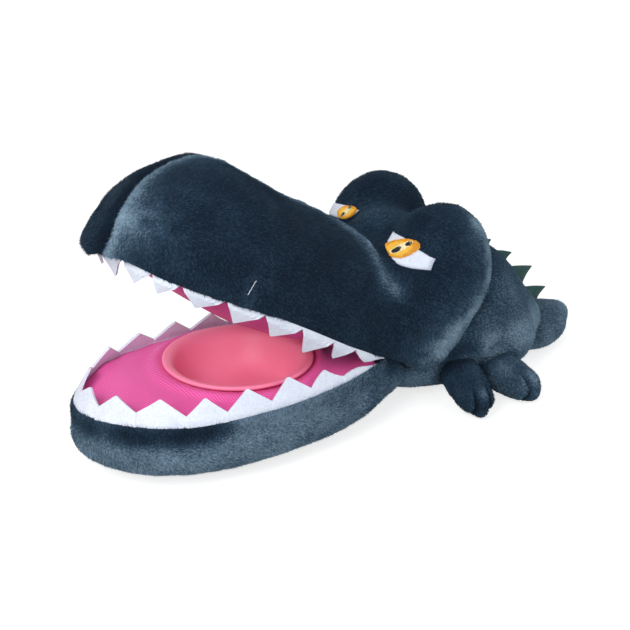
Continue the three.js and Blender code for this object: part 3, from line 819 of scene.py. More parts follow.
# Where a shadow is painted on the jaw, below the teeth at the front
JAW_SHADE = np.array((
    (-0.200, 0.045, 0.044), (-0.209, 0.016, 0.045), (-0.210, -0.013, 0.045), (-0.198, -0.038, 0.044),
    (-0.172, -0.0565, 0.044), (-0.140, -0.065, 0.045),
))
# The seam down the back, and the line on the left flank where the torso is fullest
BACK = np.array((
    (0.075, 0, 0.100), (0.11, 0, 0.086), (0.135, 0, 0.066), (0.155, 0, 0.045), (0.170, 0, 0.026),
))
FLANK = np.array((
    (0.070, -0.030, 0.088), (0.105, -0.031, 0.070), (0.130, -0.030, 0.050), (0.150, -0.024, 0.030),
))
# Where the legs come out of the torso, on either side
LEG_ROOTS = ((0.066, 0.046, 0.028), (0.096, 0.045, 0.024))
# Where the bowl's axis and rim are, and the height of the lower gum
BOWL_CENTRE, BOWL_TOP = -0.0950, 0.0590
LOWER_GUM = 0.049


def bowl_well(co):
    """1 in the jaw's round hollow for the bowl, 0 outside it."""
    return smoothstep(0.053, 0.050, np.hypot(co[:, 0] - BOWL_CENTRE, co[:, 1]))


def body_form():
    """The lower jaw and the torso in one skin, joined below the corners of the mouth and filled."""
    pieces = [closed_copy("lower_jaw", BODY_GROWTH), closed_copy("torso", BODY_GROWTH)]
    pieces += [stuffing("jaw_end", (0.000, side * 0.027, 0.031), (0.022, 0.021, 0.020)) for side in (-1, 1)]
    pieces.append(stuffing("tail_foot", (0.138, 0, 0.0175), (0.024, 0.0370, 0.0170)))
    pieces += [stuffing("haunch", (0.116, side * 0.030, 0.034), (0.030, 0.027, 0.026)) for side in (-1, 1)]
    piece = skin_round(pieces, "body_plush")
    mesh = piece.data
    co = coordinates(mesh)
    off_floor = smoothstep(0.002, 0.008, co[:, 2])
    relaxed(mesh, 26, gaussian(co[:, 0] + 0.002, 0.014) * off_floor, keep=0.5)
    relaxed(mesh, 16, gaussian(co[:, 0] - 0.138, 0.016) * off_floor, keep=0.7)
    co = coordinates(mesh)
    gum = smoothstep(0.042, 0.047, co[:, 2]) * smoothstep(0.004, -0.004, co[:, 0])
    on_floor = 1 - smoothstep(0.002, 0.006, co[:, 2])
    inflated(piece, np.maximum.reduce((on_floor, gum, bowl_well(co))), cap=0.0015)
    return refined(piece)


def jaw_relief(co, rough, fine):
    """The jaw's unevenness, its tuck over the floor and the puckers under the teeth."""
    x, z = co[:, 0], co[:, 2]
    off_floor = smoothstep(0.0005, 0.006, z)
    side = off_floor * smoothstep(0.0475, 0.041, z)
    move = side * smoothstep(0.006, 0.026, z) * (0.0012 + 0.0006 * rough + 0.0003 * fine)
    move -= 0.0012 * off_floor * smoothstep(0.018, 0.006, z) * smoothstep(-0.05, -0.09, x)
    return move + 0.0004 * side * np.sin(x / 0.0036 + 4 * rough) * gaussian(z - 0.041, 0.006)


def torso_relief(co, back, leg_root, rough, fine):
    """The torso's unevenness, the seam down its back and the tuck round each leg."""
    move = (0.0006 + 0.0008 * rough + 0.0003 * fine) * smoothstep(0.135, 0.085, co[:, 0])
    move += 0.0008 * gaussian(back - 0.005, 0.004) - 0.0018 * gaussian(back, 0.0025)
    move -= 0.0015 * gaussian(leg_root - 0.016, 0.004)
    return smoothstep(0.0005, 0.006, co[:, 2]) * move


# How high the lip of plush stands outside the foot of the lower teeth, along the jaw, in millimetres
JAW_LIP_PLACES = (-214.5, -205, -185, -165, -100, -60, -30, -3.5)
JAW_LIP_RISE = (5, 5, 2, 0.5, 0.5, 2, 4, 5)


def lower_lip(co):
    lift = np.interp(co[:, 0] / MM, JAW_LIP_PLACES, JAW_LIP_RISE) * MM
    plan, higher = with_lip(co, LOWER_RIM, co[:, 2] - LOWER_GUM, lift, smoothstep(0.002, -0.006, co[:, 0]))
    return np.column_stack((plan, co[:, 2] + higher))


def jaw_tone_and_painted_light(co, rough, fine):
    # The jaw's random tone with painted light: pale overall, a painted shadow below the front teeth, painted
    # shade near the floor and towards the neck
    shaded = gaussian(line_distance(co, JAW_SHADE), 0.0075) * smoothstep(-0.128, -0.158, co[:, 0])
    tone_and_painted_light = 0.52 + 0.18 * rough + 0.10 * fine - 1.05 * shaded * (1 + 0.3 * fine)
    return tone_and_painted_light - 0.2 * smoothstep(0.02, 0.0, co[:, 2]) - 0.18 * smoothstep(-0.07, -0.02, co[:, 0])


def torso_tone_and_painted_light(co, back, flank, leg_root, rough):
    """Painted highlights over a random tone along the flanks, beside the seam and low down, and painted shade
    on top, round the legs and under the head."""
    x, z = co[:, 0], co[:, 2]
    tone_and_painted_light = 0.24 + 0.16 * rough + 0.34 * gaussian(flank, 0.010) + 0.3 * gaussian(back - 0.004, 0.003)
    tone_and_painted_light += 0.26 * smoothstep(0.050, 0.015, z) - 0.35 * smoothstep(0.08, 0.10, z)
    tone_and_painted_light -= 0.35 * gaussian(leg_root - 0.016, 0.006)
    tone_and_painted_light += 0.38 * smoothstep(0.060, 0.044, z) * smoothstep(0.022, 0.036, z) * smoothstep(0.07, 0.085, x)
    return tone_and_painted_light - 0.4 * smoothstep(0.05, 0.02, x) * smoothstep(0.02, 0.05, z)


def body_skin():
    piece = body_form()
    mesh = piece.data
    co = coordinates(mesh)
    rough, fine = wobble(co, ROUGH_SIZE, 11), wobble(co, 0.008, 12)
    jaw = smoothstep(0.006, -0.010, co[:, 0])
    back, flank = line_distance(co, BACK), nearest(co, both_sides(FLANK))
    leg_root = np.min([np.linalg.norm(np.abs(co) - root, axis=1) for root in LEG_ROOTS], axis=0)
    relief = jaw * jaw_relief(co, rough, fine) + (1 - jaw) * torso_relief(co, back, leg_root, rough, fine)
    pushed(mesh, relief)
    co = lower_lip(coordinates(mesh))
    set_coordinates(mesh, gum_droop(co))
    # the painted light over a random tone of the jaw and the torso
    tone_and_painted_light = jaw * jaw_tone_and_painted_light(co, rough, fine) + (1 - jaw) * torso_tone_and_painted_light(co, back, flank, leg_root, rough)
    paint(mesh, "tone_and_painted_light", tone_and_painted_light)
    return piece


def tail():
    piece = soft_copy("tail", 0.003, 4)
    inflated(piece, 1 - smoothstep(0.166, 0.172, coordinates(piece.data)[:, 0]), cap=0.001)
    mesh = refined(piece).data
    co = coordinates(mesh)
    x, z = co[:, 0], co[:, 2]
    rough = wobble(co, 0.014, 31)
    seam = gaussian(z - 0.017, 0.0022) * smoothstep(0.165, 0.18, x)
    pushed(mesh, smoothstep(0.0005, 0.004, z) * 0.0004 * rough - 0.0008 * seam)
    # The tail's random tone with painted light: paler low down and towards its tip, a little darker higher up
    tone_and_painted_light = 0.46 + 0.2 * rough - 0.04 * smoothstep(0.018, 0.030, z) + 0.2 * smoothstep(0.02, 0.004, z)
    paint(mesh, "tone_and_painted_light", tone_and_painted_light + 0.35 * smoothstep(0.195, 0.213, x) * smoothstep(0.010, 0.024, z))
    return piece


# The legs, each with two clefts between its three toes: root and foot as in the CAD, in metres, and the
# level of painted light on the leg
LEGS = {
    "front": (np.array((0.0635, 0.036, 0.030)), np.array((0.0575, 0.072, 0.016)), -0.08),
    "rear": (np.array((0.0915, 0.038, 0.022)), np.array((0.0995, 0.073, 0.015)), 0.22),
}
CLEFT_PLACE, CLEFT_WIDTH = 0.0052, 0.0014
CLEFT_BACK, CLEFT_DEPTH = 0.0050, 0.0016


def leg(body):
    which, hand, _ = body.split("_")
    *ends, tone = LEGS[which]
    root, foot = (p * np.array((1, -1 if hand == "left" else 1, 1)) for p in ends)
    piece = refined(soft_copy(body, 0.0017, 3))
    mesh = piece.data
    co = coordinates(mesh)
    forward = (foot - root) / np.linalg.norm(foot - root)
    across = np.cross((0, 0, 1), forward)
    across /= np.linalg.norm(across)
    up = np.cross(forward, across)
    reach, wide = (co - foot) @ forward, (co - foot) @ across
    rough = wobble(co, 0.012, 41 + len(body))
    toe = smoothstep(0.001, 0.013, reach)
    cleft = np.maximum(gaussian(wide - CLEFT_PLACE, CLEFT_WIDTH), gaussian(wide + CLEFT_PLACE, CLEFT_WIDTH))
    co = co - (cleft * toe)[:, None] * (forward * CLEFT_BACK + up * CLEFT_DEPTH)
    set_coordinates(mesh, co)
    off_floor = smoothstep(0.0022, 0.006, co[:, 2])
    pushed(mesh, off_floor * (0.0005 * rough + 0.0006 * toe * (1 - cleft)))
    # The leg's random tone with painted light: a painted highlight on the tops of the toes, painted shade in
    # the clefts and towards the root
    top = smoothstep(0.6, 1.0, normals_of(mesh) @ up)
    tone_and_painted_light = tone + 0.25 * rough - 0.45 * smoothstep(-0.012, -0.026, reach) + toe * (0.34 * top - 0.5 * cleft)
    paint(mesh, "tone_and_painted_light", tone_and_painted_light)
    return piece


head_plush = snout_and_lobes()
body_plush = body_skin()
tail_plush = tail()
leg_plush = {
    body: leg(body) for body in ("front_left_leg", "front_right_leg", "rear_left_leg", "rear_right_leg")
}
plush_pieces = (
    (head_plush, "head", 0.8, ("head", "left_eye_lobe", "right_eye_lobe")),
    (body_plush, "torso_and_jaw", 0.7, ("lower_jaw", "torso")),
    (tail_plush, "tail", 0.6, ("tail",)),
    *((piece, body, 0.7, (body,)) for body, piece in leg_plush.items()),
)


# The felt teeth, sewn on along the two gums
FELT_THICKNESS = 0.002
GUM_POINTS = 600
TANGENT_STEP = 0.004


class GumLine:
    """The line that the felt follows round a gum, from the mouth's left corner to its right one."""

    def __init__(self, rim, inset, end_x):
        front, rear, half = rim["front"] - inset, rim["rear"] - inset, rim["half"] - inset
        start = math.acos(((end_x - rim["centre"]) / rear) ** (rim["power"] / 2))
        angle = np.linspace(start, 2 * math.pi - start, GUM_POINTS)
        x = np.sign(np.cos(angle)) * np.abs(np.cos(angle)) ** (2 / rim["power"])
        y = -np.sign(np.sin(angle)) * np.abs(np.sin(angle)) ** (2 / rim["power"])
        self.points = np.stack((rim["centre"] + x * np.where(x < 0, front, rear), y * half), axis=1)
        run = np.linalg.norm(np.diff(self.points, axis=0), axis=1)
        self.run = np.concatenate(([0], np.cumsum(run)))
        self.length = self.run[-1]

    def at(self, share):
        s = np.clip(np.atleast_1d(share), 0, 1) * self.length
        return np.stack([np.interp(s, self.run, self.points[:, k]) for k in (0, 1)], axis=1)

    def inward(self, share):
        along = self.at(share + TANGENT_STEP) - self.at(share - TANGENT_STEP)
        along /= np.linalg.norm(along, axis=1, keepdims=True)
        return np.stack((along[:, 1], -along[:, 0]), axis=1)


def ring_faces(rows, columns):
    """The faces between rings of points, each ring closed."""
    faces = []
    for start in range(0, (rows - 1) * columns, columns):
        for a, b in zip(range(columns), (*range(1, columns), 0)):
            faces.append((start + a, start + columns + a, start + columns + b, start + b))
    return faces


def closed_wall(grid_out, grid_in):
    """A thin solid between two grids of points with the same rows and columns, as points and faces."""
    rows, columns = grid_out.shape[:2]
    index = np.arange(rows * columns).reshape(rows, columns)
    count = index.size
    faces = []
    for r in range(rows - 1):
        for c in range(columns - 1):
            a, b, e, d = index[r, c], index[r, c + 1], index[r + 1, c + 1], index[r + 1, c]
            faces.append((a, b, e, d))
            faces.append((count + a, count + d, count + e, count + b))
    ring = (*index[0], *index[1:, -1], *index[-1, -2::-1], *index[-2:0:-1, 0])
    for a, b in zip(ring, ring[1:] + ring[:1]):
        faces.append((b, a, count + a, count + b))
    return np.concatenate((grid_out.reshape(-1, 3), grid_in.reshape(-1, 3))), faces


def mesh_of(name, parts, seam=None):
    """One mesh of several closed solids, each given as points and faces, facing outwards. Points within
    seam of each other are joined."""
    work = bmesh.new()
    for co, faces in parts:
        corners = [work.verts.new(p) for p in co]
        for face in faces:
            work.faces.new([corners[i] for i in face])
    if seam:
        bmesh.ops.remove_doubles(work, verts=work.verts, dist=seam)
    bmesh.ops.recalc_face_normals(work, faces=work.faces)
    mesh = bpy.data.meshes.new(name)
    work.to_mesh(mesh)
    work.free()
    return link(name, mesh)


def pad(name, top, bottom, faces, edge):
    """A closed solid between two layers with the same faces, whose last points, as many as edge, are their
    rim."""
    count = len(top)
    first = count - edge
    faces = faces + [tuple(count + i for i in reversed(face)) for face in faces]
    for c in range(edge):
        d = (c + 1) % edge
        faces.append((first + c, count + first + c, count + first + d, first + d))
    return mesh_of(name, [(np.concatenate((top, bottom)), faces)])


def bevelled(piece, width, angle=40):
    angle = math.radians(angle)
    return modified(piece, "BEVEL", width=width, segments=2, limit_method="ANGLE", angle_limit=angle)


# Where a tooth's points lie across it and up it, as shares of its width and height
TOOTH_COLUMNS = np.array((0, 0.13, 0.26, 0.385, 0.47, 0.5, 0.53, 0.615, 0.74, 0.87, 1.0))
TOOTH_ROWS = np.array((0, 0.1, 0.2, 0.35, 0.5, 0.66, 0.82, 1.0))
# How much the teeth's lean in degrees, their height in metres and their tips' place vary
TOOTH_VARIES = (1.6, 0.0005, 0.03)
# A tooth stands upright up to the knee and leans from there on. Neighbours lie over each other by a lap, a
# step apart.
KNEE = 0.0028
LAP, LAP_STEP = 0.0004, 0.00035
# The blunt tip's place on the saw's straight edge, and the share of the closed mouth's room that a tip may
# take
BLUNT_TIP = 0.965
TIP_SHARE, ROOM_SPARE = 0.64, 0.001
# Where on the way round the teeth of the far side lean in further, and how wide that stretch is
FAR_SIDE, FAR_WIDTH = 0.61, 0.1


def tooth_rows(base, inward, height, below, lean, step, up, gum):
    """The two faces of one tooth as rows of points, from below the gum to the tip."""
    rows = ([], [])
    for share in TOOTH_ROWS:
        z = -below + (height + below) * share
        over = np.maximum(0, z - KNEE)
        shift = over * math.sin(lean) + step
        rise = np.minimum(z, KNEE) + over * math.cos(lean)
        for row, half in zip(rows, (-FELT_THICKNESS / 2, FELT_THICKNESS / 2)):
            slope = half * np.where(over > 0, math.cos(lean), 1.0)
            dip = half * np.where(over > 0, math.sin(lean), 0.0)
            flat = base + inward * (shift + slope)[:, None]
            row.append(np.column_stack((flat, gum + up * (rise - dip))))
    return np.array(rows[0]), np.array(rows[1])


def tooth_strip(name, rim, settings, up, gum, place, seed):
    """Felt teeth sewn on side by side, each upright at first and then leaning into the mouth."""
    draws = np.random.default_rng(seed)
    line = GumLine(rim, settings["inset"], settings["end"])
    lap = LAP / line.length
    parts = []
    for i, (low, high) in enumerate(zip(settings["seams"][:-1], settings["seams"][1:])):
        lean_more, taller, sway = (draws.normal(0, varies) for varies in TOOTH_VARIES)
        share = np.clip(low - lap + (high - low + 2 * lap) * TOOTH_COLUMNS, 0, 1)
        base, inward = line.at(share), line.inward(share)
        front = smoothstep(-0.150, -0.205, base[:, 0])
        room = (settings["hinge"] - base[:, 0]) * math.tan(LEAST_OPENING) + ROOM_SPARE
        peak = np.minimum(np.interp(-base[:, 0], *settings["tall"]) + taller, room * TIP_SHARE)
        valley = np.minimum(settings["band"] + settings["front_band"] * front, room / 2)
        across = np.abs(2 * TOOTH_COLUMNS - 1)
        saw = 1 - np.abs(2 * TOOTH_COLUMNS - 1 + sway * (1 - across))
        height = valley + (peak - valley) * np.minimum(saw, BLUNT_TIP)
        far = settings["far_lean"] * math.exp(-(((low + high) / 2 - FAR_SIDE) / FAR_WIDTH) ** 2)
        lean = math.radians(settings["lean"] + lean_more + far + settings["front_lean"] * front.mean())
        step = (i % 2) * LAP_STEP
        co, faces = closed_wall(*tooth_rows(base, inward, height, settings["below"], lean, step, up, gum))
        parts.append((place(co), faces))
    return bevelled(mesh_of(name, parts), 0.00035)


# Where one tooth's felt ends and the next begins, as shares of the way round
LOWER_SEAMS = (
    0.0, 0.079, 0.1397, 0.2074, 0.2758, 0.3339, 0.403, 0.4663, 0.5445, 0.622, 0.688, 0.756, 0.820, 0.882,
    0.942, 1.0,
)
UPPER_SEAMS = (
    0.0, 0.0671, 0.1125, 0.1737, 0.2396, 0.300, 0.362, 0.410, 0.460, 0.520, 0.580, 0.640, 0.705, 0.770, 0.830,
    0.890, 0.945, 1.0,
)
# How far the felt and the palate are set back at the front of the upper gum
UPPER_SETBACK = 0.0085


def on_upper_gum(co):
    """Points given on a flat upper gum, set back at the front, arched and put in the head's place."""
    moved = co.copy()
    moved[:, 0] += UPPER_SETBACK * smoothstep(-0.180, -0.212, co[:, 0])
    return from_head(gum_arch(moved))


lower_teeth = tooth_strip("lower_teeth_felt", LOWER_RIM, {
    "inset": 0.0022, "end": -0.0135, "seams": LOWER_SEAMS, "lean": 24, "band": 0.005, "front_band": 0.005,
    "tall": ((0.150, 0.205), (0.0172, 0.0207)), "below": 0.0020, "far_lean": 10, "front_lean": 0,
    "hinge": HINGE[0],
}, 1, LOWER_GUM + 0.0003, gum_droop, 7)
upper_teeth = tooth_strip("upper_teeth_felt", UPPER_RIM, {
    "inset": 0.0016, "end": -0.004, "seams": UPPER_SEAMS, "lean": 38, "band": -0.0010, "front_band": 0.0,
    "tall": ((0.060, 0.085, 0.110, 0.170, 0.200, 0.216), (0.0175, 0.0168, 0.0142, 0.0140, 0.0160, 0.0225)),
    "below": 0.0015, "far_lean": 0, "front_lean": 16, "hinge": 0.0,
}, -1, -0.0003, on_upper_gum, 8)
for piece, body, cad in ((lower_teeth, "torso_and_jaw", "lower_teeth"), (upper_teeth, "head", "upper_teeth")):
    finish_piece(give(piece, FELT), body, "white_felt", cad)
    piece.data.polygons.foreach_set("use_smooth", [False] * len(piece.data.polygons))


# The linings of the mouth: sheets of mesh cloth, puffed by the stuffing


def reach_to(rim, inset, centre, angle, end_x):
    """How far the lining reaches from a centre at an angle, inside the teeth and up to end_x."""
    low, high = np.zeros_like(angle), np.full_like(angle, 0.3)
    for _ in range(40):
        half_way = (low + high) / 2
        x, y = centre + half_way * np.cos(angle), half_way * np.sin(angle)
        inside = (rim_norm(x, y, rim, inset) < 1) & (x < end_x)
        low, high = np.where(inside, half_way, low), np.where(inside, high, half_way)
    return low


# The cloth's ribs run across the jaw, a little askew
RIB_TURN = math.radians(-6)


def lining_sheet(name, rim, inset, centre, inner, end_x, height, place, rows=30, columns=180):
    """A sheet over a gum, from an inner radius about the centre out to the teeth. Also gives its points as
    they lie before they are put in place."""
    angle = np.linspace(0, 2 * math.pi, columns, endpoint=False)
    share = (np.linspace(0, 1, rows) ** 0.8)[:, None] * np.ones(columns)
    distance = inner + (reach_to(rim, inset, centre, angle, end_x) - inner) * share
    x, y = centre + distance * np.cos(angle), distance * np.sin(angle)
    flat = np.stack((x, y, height(x, y, share, angle)), axis=2).reshape(-1, 3)
    points, faces = place(flat), ring_faces(rows, columns)
    if not inner:
        points, flat = points[columns - 1:], flat[columns - 1:]
        faces = [tuple(dict.fromkeys(max(0, i - columns + 1) for i in face)) for face in faces]
    mesh = bpy.data.meshes.new(name)
    mesh.from_pydata([tuple(p) for p in points], [], faces)
    mesh.update()
    c, s = math.cos(RIB_TURN), math.sin(RIB_TURN)
    lay_chart(mesh, flat[:, :2] @ np.array(((c, s), (-s, c))))
    return link(name, mesh), flat


# The least height of a lining over its gum, and how deep its edges are gathered
CLOTH_LEAST, PULL = 0.0014, 0.0004


def lower_height(x, y, share, angle):
    """The lining's height over the jaw: domed, puffed up beside the bowl and gathered along both edges."""
    norm = np.minimum(1, rim_norm(x, y, LOWER_RIM, 0.0050))
    dome = 0.0056 * (1 - norm ** 3.2) ** (1 / 3.2)
    pull = PULL * np.sin(angle * 23 + 2 * np.sin(angle * 5)) * gaussian(1 - share, 0.10)
    ring = 0.0003 * np.sin(angle * 31 + 1.5) * gaussian(share, 0.12)
    puff = 0.0028 * gaussian(np.hypot(x - BOWL_CENTRE, y) - 0.0575, 0.004) * smoothstep(1.0, 0.93, norm)
    return LOWER_GUM + np.maximum(CLOTH_LEAST, dome) + puff + pull + ring


# How deep the stuffing puffs out the palate, by the distance in front of the hinge
PALATE_REACH = np.array((0, 20, 38, 50, 80, 110, 150, 190, 216)) * MM
PALATE_DEPTH = np.array((1, 3.3, 5.4, 9.5, 17, 19, 15, 7, 4)) * MM


def palate_height(x, y, share, angle):
    norm = np.minimum(1, rim_norm(x, y, UPPER_RIM, 0.0032))
    dome = np.interp(-x, PALATE_REACH, PALATE_DEPTH) * (1 - norm ** 2) ** 0.62
    return PULL * np.sin(angle * 27) * gaussian(1 - share, 0.12) - np.maximum(CLOTH_LEAST, dome)


CLOTH_THICKNESS = 0.0008

lower_sheet, lower_flat = lining_sheet(
    "lower_lining_cloth", LOWER_RIM, 0.0036, BOWL_CENTRE, 0.0472, -0.0138, lower_height, gum_droop,
)
palate_sheet, palate_flat = lining_sheet(
    "palate_cloth", UPPER_RIM, 0.0032, -0.105, 0.0, -0.0045, palate_height, on_upper_gum,
)
for sheet, flat, cloth, body, cad, rests in (
    (lower_sheet, lower_flat, MESH_CLOTH, "torso_and_jaw", "lower_lining", "body_plush"),
    (palate_sheet, palate_flat, SHADED_PALATE_CLOTH, "head", "palate_lining", "head_plush"),
):
    give(sheet, cloth)
    # what the puffed cloth has more than its outline's box makes the flat piece larger both ways
    modified(sheet, "SOLIDIFY", thickness=CLOTH_THICKNESS, offset=0)
    finish_piece(sheet, body, "pink_mesh", cad)


# The bowl and the cloth pocket under it

TURNED_COLUMNS = 120


def turned(name, profile):
    """A closed profile of (radius, height) turned about the bowl's axis."""
    angle = np.linspace(0, 2 * math.pi, TURNED_COLUMNS, endpoint=False)
    co = [
        (BOWL_CENTRE + radius * math.cos(a), radius * math.sin(a), BOWL_TOP + z)
        for radius, z in profile for a in angle
    ]
    return mesh_of(name, [(co, ring_faces(len(profile), TURNED_COLUMNS))], seam=1e-6)


def rounded(points, passes):
    """Cuts a line's corners, so that it runs smoothly between its two ends."""
    points = np.asarray(points, dtype=float)
    for _ in range(passes):
        a, b = points[:-1], points[1:]
        cut = np.empty((2 * len(a), points.shape[1]))
        cut[0::2], cut[1::2] = 0.75 * a + 0.25 * b, 0.25 * a + 0.75 * b
        points = np.vstack((points[:1], cut, points[-1:]))
    return points


BOWL_PROFILE = rounded(np.array((
    (0, -29), (12, -29), (24, -28.6), (31, -26.5), (36, -21), (40.5, -12), (43, -5), (46, -1.4), (50, 0.1),
    (52, -0.2), (52.2, -2.4), (49.5, -3.6), (46.2, -4), (45.2, -8), (43, -15), (38.5, -23), (32, -29.5),
    (24, -31.2), (12, -31.2), (0, -31.2),
)) * MM, 3)
bowl = turned("bowl_plastic", BOWL_PROFILE)
finish_piece(give(bowl, PLASTIC), "bowl", "pink_plastic", "bowl")

POCKET_PROFILE = rounded(np.array((
    (45.9, -4.3), (45.6, -8), (43.6, -15), (39.2, -23.4), (32.4, -30), (24, -31.6), (12, -31.6), (0, -31.6),
    (0, -32.4), (12, -32.4), (24.4, -32.4), (33, -30.6), (40, -24), (44.6, -15.2), (46.5, -8), (46.8, -4.3),
    (45.9, -4.3),
)) * MM, 2)
pocket = turned("bowl_pocket_cloth", POCKET_PROFILE)
around = coordinates(pocket.data)
turn = np.arctan2(around[:, 1], around[:, 0] - BOWL_CENTRE)
lay_chart(pocket.data, np.column_stack((turn * 0.04, around[:, 2])))
finish_piece(give(pocket, MESH_CLOTH), "torso_and_jaw", "pink_mesh", "bowl_pocket")


def throat_roll(rows=61, columns=24):
    """The roll of lining in the corner of the mouth, gathered a little along its length."""
    low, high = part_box("throat_lining")
    centre, half = (low + high) / 2, (high - low) / 2
    angle = np.linspace(0, 2 * math.pi, columns, endpoint=False)
    rings = []
    for y in np.linspace(-half.y, half.y, rows):
        # the roll's ends are rounded over 4 mm
        end = min(1.0, (half.y - abs(y)) / 0.004)
        r = (half.x - 0.0003) * math.sqrt(max(0.02, 1 - (1 - end) ** 2))
        r = r * (1 + 0.035 * np.sin(3 * angle + y * 420) + 0.03 * math.sin(y * 900))
        x, z = centre.x + r * np.cos(angle), centre.z + r * np.sin(angle) * half.z / half.x
        rings.append(np.column_stack((x, np.full(columns, centre.y + y), z)))
    ends = [tuple(range(columns)), tuple(range((rows - 1) * columns, rows * columns))]
    piece = mesh_of("throat_roll_cloth", [(np.concatenate(rings), ring_faces(rows, columns) + ends)])
    around = coordinates(piece.data)
    turn = np.arctan2(around[:, 2] - centre.z, around[:, 0] - centre.x)
    lay_chart(piece.data, np.column_stack((around[:, 1], turn * 0.004)))
    return piece


throat = throat_roll()
finish_piece(give(throat, MESH_CLOTH), "torso_and_jaw", "pink_mesh", "throat_lining")


# The eyes, sewn on the front of each lobe. A lobe's own frame has its middle at the origin, x to the back
# and z up along the lobe. Each eye's outlines are in millimetres, across the lobe from its inner end and up
# from the eye's foot; the ovals have a middle, half sizes and a tilt in degrees.
LOBES = {
    "left": {
        "side": -1, "middle": np.array((0.0275, -0.039, 0.059)),
        "patch": (
            (5.6, 3.5), (3.4, 10.5), (1.5, 17.4), (8, 18.4), (16.8, 18.7), (30, 14.6), (39.5, 9.6),
            (39.9, 1.6), (30.1, 0.7), (16, 0.6), (9.5, 1.5),
        ),
        "iris": ((18.2, 10.2), (14.2, 6.6), 26), "slit": ((20.2, 11.4), (8.8, 2.3), 44),
        "pupil": ((18.3, 9.1), (4.0, 1.5), 44), "dot": ((24.8, 15.6), (2.2, 1.3), 38),
    },
    "right": {
        "side": 1, "middle": np.array((0.0315, 0.039, 0.064)),
        "patch": (
            (0, 15.1), (1, 12.5), (5.8, 9.3), (11.7, 7.6), (22.3, 6.6), (34.6, 5.4), (35, 11.5), (30, 14.5),
            (19, 16.6), (11.2, 17.6), (5.3, 17.6),
        ),
        "iris": ((8.6, 12.6), (7.6, 4.9), -12), "slit": ((8.0, 12.9), (4.4, 1.6), 110),
        "pupil": ((9.0, 10.4), (1.6, 0.8), 110), "dot": ((6.9, 16.0), (1.2, 0.9), 110),
    },
}
# How far a lobe leans back, and where the outlines of its eye start across and up it
LOBE_LEAN = math.radians(20)
EYE_INWARD, EYE_RISE = 0.016, 0.0185


def from_lobe(co, lobe):
    return from_head(tilted(co, -LOBE_LEAN) + lobe["middle"])


# Where the head's skin is at least this near to the lobe of the CAD, what is laid on the lobe follows the
# skin
SKIN_NEAR = 0.0035


def on_skin(flat, lobe, lift):
    """Points given across and up the front of a lobe, laid on the head's skin and lifted off it, and the
    skin's normals there."""
    across = lobe["side"] * (flat[:, 0] - EYE_INWARD)
    start = from_lobe(np.column_stack((np.zeros(len(flat)), across, EYE_RISE + flat[:, 1])), lobe)
    ahead = from_lobe(np.array(((-1.0, 0, 0), (0.0, 0, 0))), lobe)
    direction = Vector(ahead[0] - ahead[1]).normalized()
    found = []
    for p in start:
        place, normal, _, _ = lobe["tree"].ray_cast(Vector(p), direction)
        near, near_normal, _, distance = SKIN.find_nearest(place)
        if distance < SKIN_NEAR:
            place, normal = near, near_normal
        found.append((*place, *normal))
    place, normals = np.hsplit(np.array(found), 2)
    return place + normals * lift, normals


def surface_of(piece):
    work = bmesh.new()
    work.from_mesh(piece.data)
    work.transform(piece.matrix_world)
    found = BVHTree.FromBMesh(work)
    work.free()
    return found


SKIN = surface_of(head_plush)
for hand, lobe in LOBES.items():
    lobe["tree"] = surface_of(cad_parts[f"{hand}_eye_lobe"])


def disc_grid(outline, rings):
    """Points of a filled outline as rings from its middle outwards, and their faces."""
    middle, count = outline.mean(0), len(outline)
    points = np.vstack([middle] + [middle + (outline - middle) * (k / rings) for k in range(1, rings + 1)])
    faces = [(0, 1 + c, 1 + (c + 1) % count) for c in range(count)]
    return points, faces + [tuple(1 + i for i in face) for face in ring_faces(rings, count)]


def dense(outline, step):
    """More points along a closed outline."""
    points = []
    for a, b in zip(outline, np.roll(outline, -1, axis=0)):
        count = max(1, int(np.linalg.norm(b - a) / step))
        points.extend(a + (b - a) * k / count for k in range(count))
    return np.array(points)


def laid_patch(name, outline, lobe, low, high, rings=7):
    """A flat outline laid on the skin as a closed pad with soft edges, from low to high above the skin."""
    flat, faces = disc_grid(outline, rings)
    edge = len(outline)
    top, bottom = (on_skin(flat, lobe, lift)[0] for lift in (high, low))
    top[-edge:] = on_skin(flat[-edge:], lobe, (low + high) / 2)[0]
    return pad(name, top, bottom, faces, edge)


def in_oval(x, y, middle, tilt):
    """Points of an oval's own axes, turned by its tilt and set about its middle."""
    c, s = math.cos(tilt), math.sin(tilt)
    return np.column_stack((middle[0] + x * c - y * s, middle[1] + x * s + y * c))


def ellipse(middle, half, tilt, count=48):
    angle = np.linspace(0, 2 * math.pi, count, endpoint=False)
    return in_oval(half[0] * np.cos(angle), half[1] * np.sin(angle), middle, tilt)


def geometry_tree(name, *inputs):
    """An empty Geometry Nodes tree that takes a mesh and some named inputs and gives a mesh."""
    return node_group(
        "GeometryNodeTree", name, (("Geometry", "Geometry"), *inputs, ("Material", "Material")),
        (("Geometry", "Geometry"),),
    )


def finished_mesh(tree, geometry, given, out):
    """Ends a tree: realizes the instances and gives them the tree's material."""
    real, cover = node(tree, "GeometryNodeRealizeInstances"), node(tree, "GeometryNodeSetMaterial")
    wire(
        tree, (geometry, real.inputs[0]), (real.outputs[0], cover.inputs[0]),
        (given.outputs["Material"], cover.inputs["Material"]), (cover.outputs[0], out.inputs[0]),
    )


